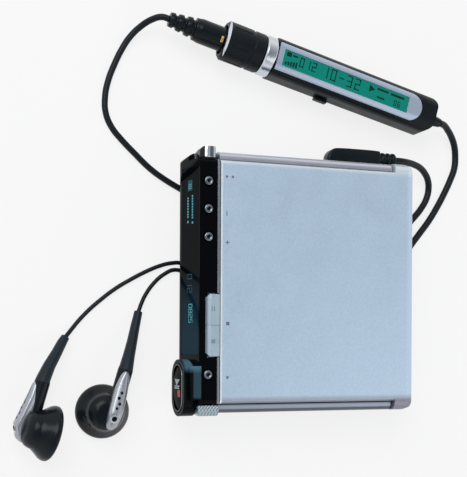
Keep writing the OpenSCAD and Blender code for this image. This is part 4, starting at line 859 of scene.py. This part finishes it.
class RECORDER_OT_leads(RecorderOperator, bpy.types.Operator):
    """Lays the remote control's lead, the earphone lead and its two branches"""
    bl_idname = "recorder.leads"
    bl_label = "Leads"

    def execute(self, context):
        size = context.scene.recorder_sizes
        plug_y, plug_z = 44.8, 10.1
        # Flat angled plug with a rounded nose: the outline of its body, which draws in towards its
        # underside and its top, as share and height
        outline = between([(30.6, 42.4), (30.7, 44.8), (30.5, 46.9), (29.2, 47.4), (22, 47.5), (14.6, 47.4),
                           (12.4, 46.9), (11.0, 45.6), (10.4, 43.8), (10.6, 42.4)], 60)
        middle = outline.mean(0)
        rings = []
        for share, z in ((0.86, 7.7), (0.96, 7.95), (1.0, 8.6), (1.0, 11.4), (0.985, 12.0),
                         (0.93, 12.4), (0.83, 12.5)):
            o = middle + (outline - middle) * [1 - (1 - share) * 0.5, share]
            rings.append(np.concatenate([o, np.full((len(o), 1), z)], -1))
        plug = new_mesh("remote_plug_body", *skin(spot(np.array(rings))), finish_of("satin_abs"),
                        slot="dark_plastic")
        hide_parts("remote_plug")
        # Its neck with three ribs, as radius and place along the player, and its pin
        neck = [(0.05, 30.0), (1.9, 30.0), (1.9, 30.9)]
        for x in (31.3, 33.3, 35.3):
            neck += [(1.6, x), (2.25, x + 0.12), (2.4, x + 0.4), (2.4, x + 1.0), (2.2, x + 1.3),
                     (1.6, x + 1.4)]
        neck += [(1.45, 37.3), (0.05, 37.4)]
        x, y, z = np.moveaxis(turned(neck, 32), -1, 0)
        ribs = new_mesh("remote_plug_neck", *skin(spot(np.stack([z, plug_y + x, plug_z + y], -1))),
                        finish_of("satin_abs"), slot="dark_plastic")
        tip = [(0.05, 30.7), (1.2, 30.8), (1.7, 31.6), (1.7, 42.5), (0.05, 42.5)]
        x, y, z = np.moveaxis(turned(tip, 32), -1, 0)
        pin = new_mesh("remote_plug_pin", *skin(spot(np.stack([20 + y, z, plug_z + x], -1))),
                       finish_of("gold_flash"), slot="dark_plastic")
        relief = softened("remote_lead_relief", ["remote_relief"], finish_of("satin_abs"), 0.0002)
        d = size.remote_lead / MM
        coil = wound(*REMOTE_COIL, d)
        lead("remote_lead_run", np.concatenate([REMOTE_PTS, coil, PLUG_PTS[::-1]]), size.remote_lead,
             ["remote_lead", "remote_coil", "plug_lead"], "plug", "coiled", [plug, ribs, pin, relief])
        jack = softened("earphone_plug_body", ["phone_plug"], finish_of("satin_abs"), 0.0002)
        fork = softened("earphone_splitter", ["splitter"], finish_of("satin_abs"), 0.0003)
        d = size.phone_lead / MM
        coil = wound(*PHONE_COIL, d)
        lead("earphone_lead_run", np.concatenate([PHONE_PTS, coil, TAIL_PTS]), size.phone_lead,
             ["phone_lead", "phone_coil", "coil_lead"], "object", "coiled", [jack, fork])
        lead("left_branch_run", LEFT_PTS, size.branch, ["left_branch"], "object", "loose")
        lead("right_branch_run", RIGHT_PTS, size.branch, ["right_branch"], "object", "loose")
        return {"FINISHED"}


class RECORDER_OT_shell(RecorderOperator, bpy.types.Operator):
    """Dresses the lid, the side frame, the case and the sliders"""
    bl_idname = "recorder.shell"
    bl_label = "Player's shell"

    def execute(self, context):
        e = context.scene.recorder_sizes.edge
        softened("lid_sheet", ["lid"], finish_of("blasted_aluminium"), e, "lid_with_holder",
                 cutting=cut_near_the_sides, moving=round_the_hinge_end)
        z = H + 0.01
        edge_marks = [disc(-28.6, 33.6, 0.42, on_player, z), disc(-26.6, 33.6, 0.42, on_player, z)]
        minus, plus = down_the_lid(-28.7, 22.6), down_the_lid(-28.9, 13.2)
        edge_marks += [patch(0, 0, 1.5, 0.3, minus, z), patch(0, 0.45, 1.3, 0.75, plus, z),
                       patch(0.5, -0.05, 0.8, 0.45, plus, z), patch(0.5, 0.75, 0.8, 1.25, plus, z)]
        edge_marks += [patch(0, 0, 1.1, 1.1, down_the_lid(-28.6, -12.8), z),
                       triangle(0, 0, 1.2, down_the_lid(-28.7, -30.2), z)]
        marks("key_symbols", edge_marks, "grey_ink", "lid_with_holder", slot="silver_lid")
        softened("side_frame", ["mid_frame"], finish_of("painted_magnesium"), e)
        softened("case_tub", ["bottom_case"], finish_of("pressed_aluminium"), e)
        softened("bright_line", ["trim_strip"], finish_of("bright_line"), 0.0001)
        softened("hold_knob", ["hold_slider"], finish_of("hold_chrome"), e, "hold_slider")
        softened("open_knob", ["open_slider"], finish_of("knurled_nickel"), e, "open_slider")
        softened("battery_flap", ["battery_door"], finish_of("pressed_aluminium"), 0.0001, "battery_door")
        return {"FINISHED"}


class RECORDER_OT_edge(RecorderOperator, bpy.types.Operator):
    """Dresses the display edge: bezel, window, panel, keys, buttons and control pad"""
    bl_idname = "recorder.edge"
    bl_label = "Display edge"

    def execute(self, context):
        softened("bezel", ["front_bezel"], finish_of("polished_abs"), 0.00015)
        softened("window", ["display_window"], finish_of("smoked_acrylic"), 0.0001)
        # The whole panel takes the dim lit finish: a painted teal sheen that glows behind the window
        carry(["oled_panel"], "dim_cyan")
        z = PRINT
        # Two rows of dots, each with a larger one at its end
        low, high = down_the_face(28.2, 4.6), down_the_face(28.2, 7.6)
        pitch = 0.86
        dots = []
        for place, count, first in ((low, 8, 0.8), (high, 9, 0.4)):
            for i in range(count):
                x = first + pitch * i
                dots.append(patch(x, 0, x + 0.6, 0.85, place, z))
            x = first + pitch * count
            dots.append(patch(x + 0.7, 0, x + 1.4, 0.95, place, z))
        marks("level_dots", dots, "lit_cyan", slot="display_panel")
        block = down_the_face(32.8, 4.9)
        marks("level_block", [patch(0, 0, 3.4, 3.0, block, z)], "dim_cyan", slot="display_panel")
        marks("level_block_bars", bars("10", 0.5, 0.5, 2.0, 1.3, block, 2 * z), "lit_cyan",
              slot="display_panel")
        marks("track_digits", bars("012", 0, 0, 3.4, 2.2, down_the_face(2.6, 4.6), z, 0.1), "dim_cyan",
              slot="display_panel")
        marks("time_digits", bars("0825", 0, 0, 2.7, 1.6, down_the_face(-7.0, 5.6), z, 0.12), "lit_cyan",
              slot="display_panel")
        softened("pad_barrel", ["pad_housing"], finish_of("tinted_abs"), 0.0004)
        softened("pad_line", ["pad_trim"], finish_of("pad_chrome"), 0.0001)
        softened("pad_face", ["control_pad"], finish_of("pad_lens"), 0.0002, "control_pad")
        # A dished cap with a raised rim: stem, flange, wall, rim and dish, as radius and height
        cap = [(0.8, 11.4), (0.8, 12.3), (1.75, 12.35), (1.78, 12.85), (1.5, 12.9), (1.5, 14.3),
               (1.47, 14.48), (1.38, 14.64), (1.24, 14.76), (1.08, 14.83), (0.94, 14.82), (0.82, 14.74),
               (0.68, 14.66), (0.46, 14.6), (0.22, 14.57), (0.0, 14.56)]
        for n in ("menu_button", "volume_down_button", "volume_up_button", "track_mark_button"):
            low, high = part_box(n)
            middle = (np.asarray(low) + np.asarray(high)) / 2 / MM - SHIFT
            rings = on_player(turned(cap) + [middle[0], middle[1], 0])
            piece = new_mesh(n + "_cap", *skin(rings), finish_of("chrome_plate"), n, slot="chrome")
            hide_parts(n)
        for n in ("pause_key", "stop_key"):
            softened(n + "_cap", [n], finish_of("satin_plating"), 0.0002, n)
        # Play and pause in white, a bar in red, a little above the dome so that their flat faces
        # clear it
        z = 0.09
        arrow = np.array([(-2.2, 2.8, z), (-0.3, 0.9, z), (0.3, 0.9, z), (2.2, 2.8, z)])
        marks("pad_play_mark", [
            (on_dome(arrow), [[0, 1, 2, 3]]),
            patch(-2.2, -0.3, 2.2, 0.15, on_dome, z), patch(-2.2, 0.35, 2.2, 0.8, on_dome, z),
        ], "white_ink", "control_pad", slot="black_gloss")
        marks("pad_record_mark", [patch(0.5, -2.9, 2.7, -0.7, on_dome, z)], "red_ink", "control_pad",
              slot="black_gloss")
        # The keys stand 0.3 above the strip
        top = H + 0.3 + PRINT
        x = STRIP_MID + 1.0
        pause = down_the_lid(x, -7.9)
        marks("pause_mark", [patch(0, 0, 1.6, 0.35, pause, top), patch(0, 0.75, 1.6, 1.1, pause, top)],
              "key_ink", "pause_key", slot="key_metal")
        marks("stop_mark", [patch(0, 0, 1.3, 1.3, down_the_lid(x, -18.4), top)], "key_ink", "stop_key",
              slot="key_metal")
        return {"FINISHED"}


class RECORDER_OT_remote(RecorderOperator, bpy.types.Operator):
    """Dresses the remote control"""
    bl_idname = "recorder.remote"
    bl_label = "Remote control"

    def execute(self, context):
        softened("remote_shell", ["remote_body"], finish_of("textured_abs"), 0.0003)
        softened("remote_front", ["remote_window"], finish_of("silver_print"), 0.00015)
        softened("remote_screen", ["remote_lcd"], finish_of("lit_green"), 0.0001)
        z = SCREEN_TOP + PRINT
        ink = bars("012", 26.2, -1.6, 3.2, 2.3, on_remote, z, 0.11)
        ink += bars("06", 63.2, -2.5, 2.0, 1.5, on_remote, z, 0.13)
        ink += bars("10-32", 35.0, -2.1, 4.0, 3.1, on_remote, z, 0.1)
        for i in range(5):
            ink.append(patch(21.1 + 0.95 * i, -2.6, 21.75 + 0.95 * i, -1.6 + 0.25 * i, on_remote, z))
        ink += [patch(21.1, 0.4, 22.9, 1.9, on_remote, z), patch(23.4, 0.9, 25.2, 1.5, on_remote, z),
                triangle(53.0, -0.9, 2.6, on_remote, z), patch(56.0, 0.8, 60.4, 1.5, on_remote, z),
                patch(56.4, -1.9, 59.4, -1.3, on_remote, z), patch(61.4, 0.7, 66.8, 1.5, on_remote, z)]
        marks("screen_marks", ink, "dark_green", slot="green_panel")
        softened("head_grip", ["jog_dial"], finish_of("textured_abs"), 0.0002, "jog_dial")
        softened("head_ring", ["jog_ring"], finish_of("rippled_chrome"), 0.0001)
        # Painted highlight, a bright crescent on the upper chamfer of the head's end: for each angle, five
        # places on the chamfer, of which the inner ones draw outwards towards both tips
        steps = 40
        turn = np.radians(np.linspace(-72, 64, steps))
        pull = np.abs(np.linspace(-1, 1, steps)) ** 3
        rows = []
        for x, r in ((-0.05, 4.75), (-0.07, 5.2), (-0.05, 5.72), (0.36, 6.2), (0.8, 6.55)):
            r, x = r + (6.5 - r) * pull, x + (0.8 - x) * pull
            rows.append(np.stack([x, r * np.sin(turn), r * np.cos(turn)], -1))
        new_mesh("head_arc", on_remote(np.array(rows)), sheet_faces(len(rows), steps),
                 finish_of("bright_chrome"), "jog_dial", slot="silver_line")
        # Gold contact in the socket's mouth: its section runs up, along and down again
        steps = 6
        turn = np.radians(np.linspace(-34, -8, steps))
        rows = [np.stack([np.full(steps, x), r * np.sin(turn), r * np.cos(turn)], -1)
                for x, r in ((-1.5, 4.06), (-1.5, 4.3), (-0.3, 4.34), (-0.3, 4.06))]
        new_mesh("socket_contact", on_remote(np.array(rows)), sheet_faces(len(rows), steps),
                 finish_of("gold_flash"), slot="silver_line")
        softened("head_socket", ["phones_socket"], finish_of("satin_abs"), 0.0002)
        for n in ("hold_tab", "display_key", "playmode_key", "remote_clip"):
            softened(n + "_cap", [n], finish_of("textured_abs"), 0.0002, n)
        return {"FINISHED"}


class RECORDER_OT_earpieces(RecorderOperator, bpy.types.Operator):
    """Dresses the two earpieces and their sleeves"""
    bl_idname = "recorder.earpieces"
    bl_label = "Earpieces"

    def execute(self, context):
        for side, name in ((-1, "left"), (1, "right")):
            softened(name + "_earpiece", [name + "_bud_shell"], finish_of("satin_abs"), 0.0002)
            # Two curved slots in the dome, dark with painted shade, each with a painted highlight along its
            # outer edge
            for piece, key, r0, r1 in (("_slots", "dark_hollow", 6.15, 6.75),
                                       ("_slot_lips", "steel_mesh", 6.75, 6.85)):
                marks(name + piece, [dome_arc(side, a, r0, r1) for a in (62, 205)], key, slot="dark_plastic")
            place = on_trim(side)
            # Holes in the trim, drawn as flat discs of painted shade
            holes = [disc(x, y, r, place, 0.02) for x, y, r in (
                (0.15, 2.4, 0.5), (-0.3, 0.6, 0.55), (0.3, -1.1, 0.5), (-0.2, -2.7, 0.45))]
            holes.append(disc(0.0, -6.1, 0.85, place, 0.04))
            marks(name + "_trim_holes", holes, "dark_hollow", slot="key_metal")
            marks(name + "_trim_ring", [disc(0.0, -6.1, 1.35, place, 0.03, 24, 0.8)], "bright_chrome",
                  slot="key_metal")
        rings = [trim_rings(side) for side in (-1, 1)]
        trims = new_mesh("oval_trims", *merged([skin(r) for r in rings]), finish_of("silver_lacquer"),
                         slot="key_metal")
        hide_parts("bud_trims")
        softened("sleeves", ["bud_sleeves"], finish_of("elastomer"), 0.0002)
        softened("speaker_mesh", ["bud_grilles"], finish_of("steel_mesh"), 0.0001)
        return {"FINISHED"}


class RECORDER_OT_inside(RecorderOperator, bpy.types.Operator):
    """Gives the pieces inside the player their finishes"""
    bl_idname = "recorder.inside"
    bl_label = "Inside"

    def execute(self, context):
        carry(["disc_holder", "deck_plate", "spindle_motor", "turntable", "guide_rails", "sled_motor",
               "hinge_pins", "case_screws"], "ground_steel")
        carry(["lead_screw"], "turned_brass")
        carry(["head_arm"], "gold_flash")
        carry(["optical_pickup", "jack_sockets"], "textured_abs")
        carry(["circuit_board"], "solder_mask")
        carry(["battery"], "shrink_sleeve")
        return {"FINISHED"}


class RECORDER_PT_panel(bpy.types.Panel):
    """Lists the pieces and their sizes and colours"""
    bl_label = "Disc recorder"
    bl_idname = "RECORDER_PT_panel"
    bl_space_type = "VIEW_3D"
    bl_region_type = "UI"
    bl_category = "Recorder"

    def draw(self, context):
        for name in GROUPS:
            group = getattr(context.scene, name)
            box = self.layout.box()
            for key in group.__annotations__:
                box.prop(group, key)
        for op in STEPS:
            self.layout.operator(op.bl_idname)


STEPS = (
    RECORDER_OT_stage,
    RECORDER_OT_leads,
    RECORDER_OT_shell,
    RECORDER_OT_edge,
    RECORDER_OT_remote,
    RECORDER_OT_earpieces,
    RECORDER_OT_inside,
)
GROUPS = {
    "recorder_colours": RecorderColours,
    "recorder_sizes": RecorderSizes,
    "recorder_stage": RecorderStage,
}


def register():
    for cls in (*GROUPS.values(), *STEPS, RECORDER_PT_panel):
        bpy.utils.register_class(cls)
    for key, cls in GROUPS.items():
        setattr(bpy.types.Scene, key, bpy.props.PointerProperty(type=cls))


def unregister():
    for key in GROUPS:
        delattr(bpy.types.Scene, key)
    for cls in reversed((*GROUPS.values(), *STEPS, RECORDER_PT_panel)):
        bpy.utils.unregister_class(cls)


def main():
    """Makes every piece in order."""
    register()
    for op in STEPS:
        group, name = op.bl_idname.split(".")
        getattr(getattr(bpy.ops, group), name)()


if __name__ == "__main__":
    main()
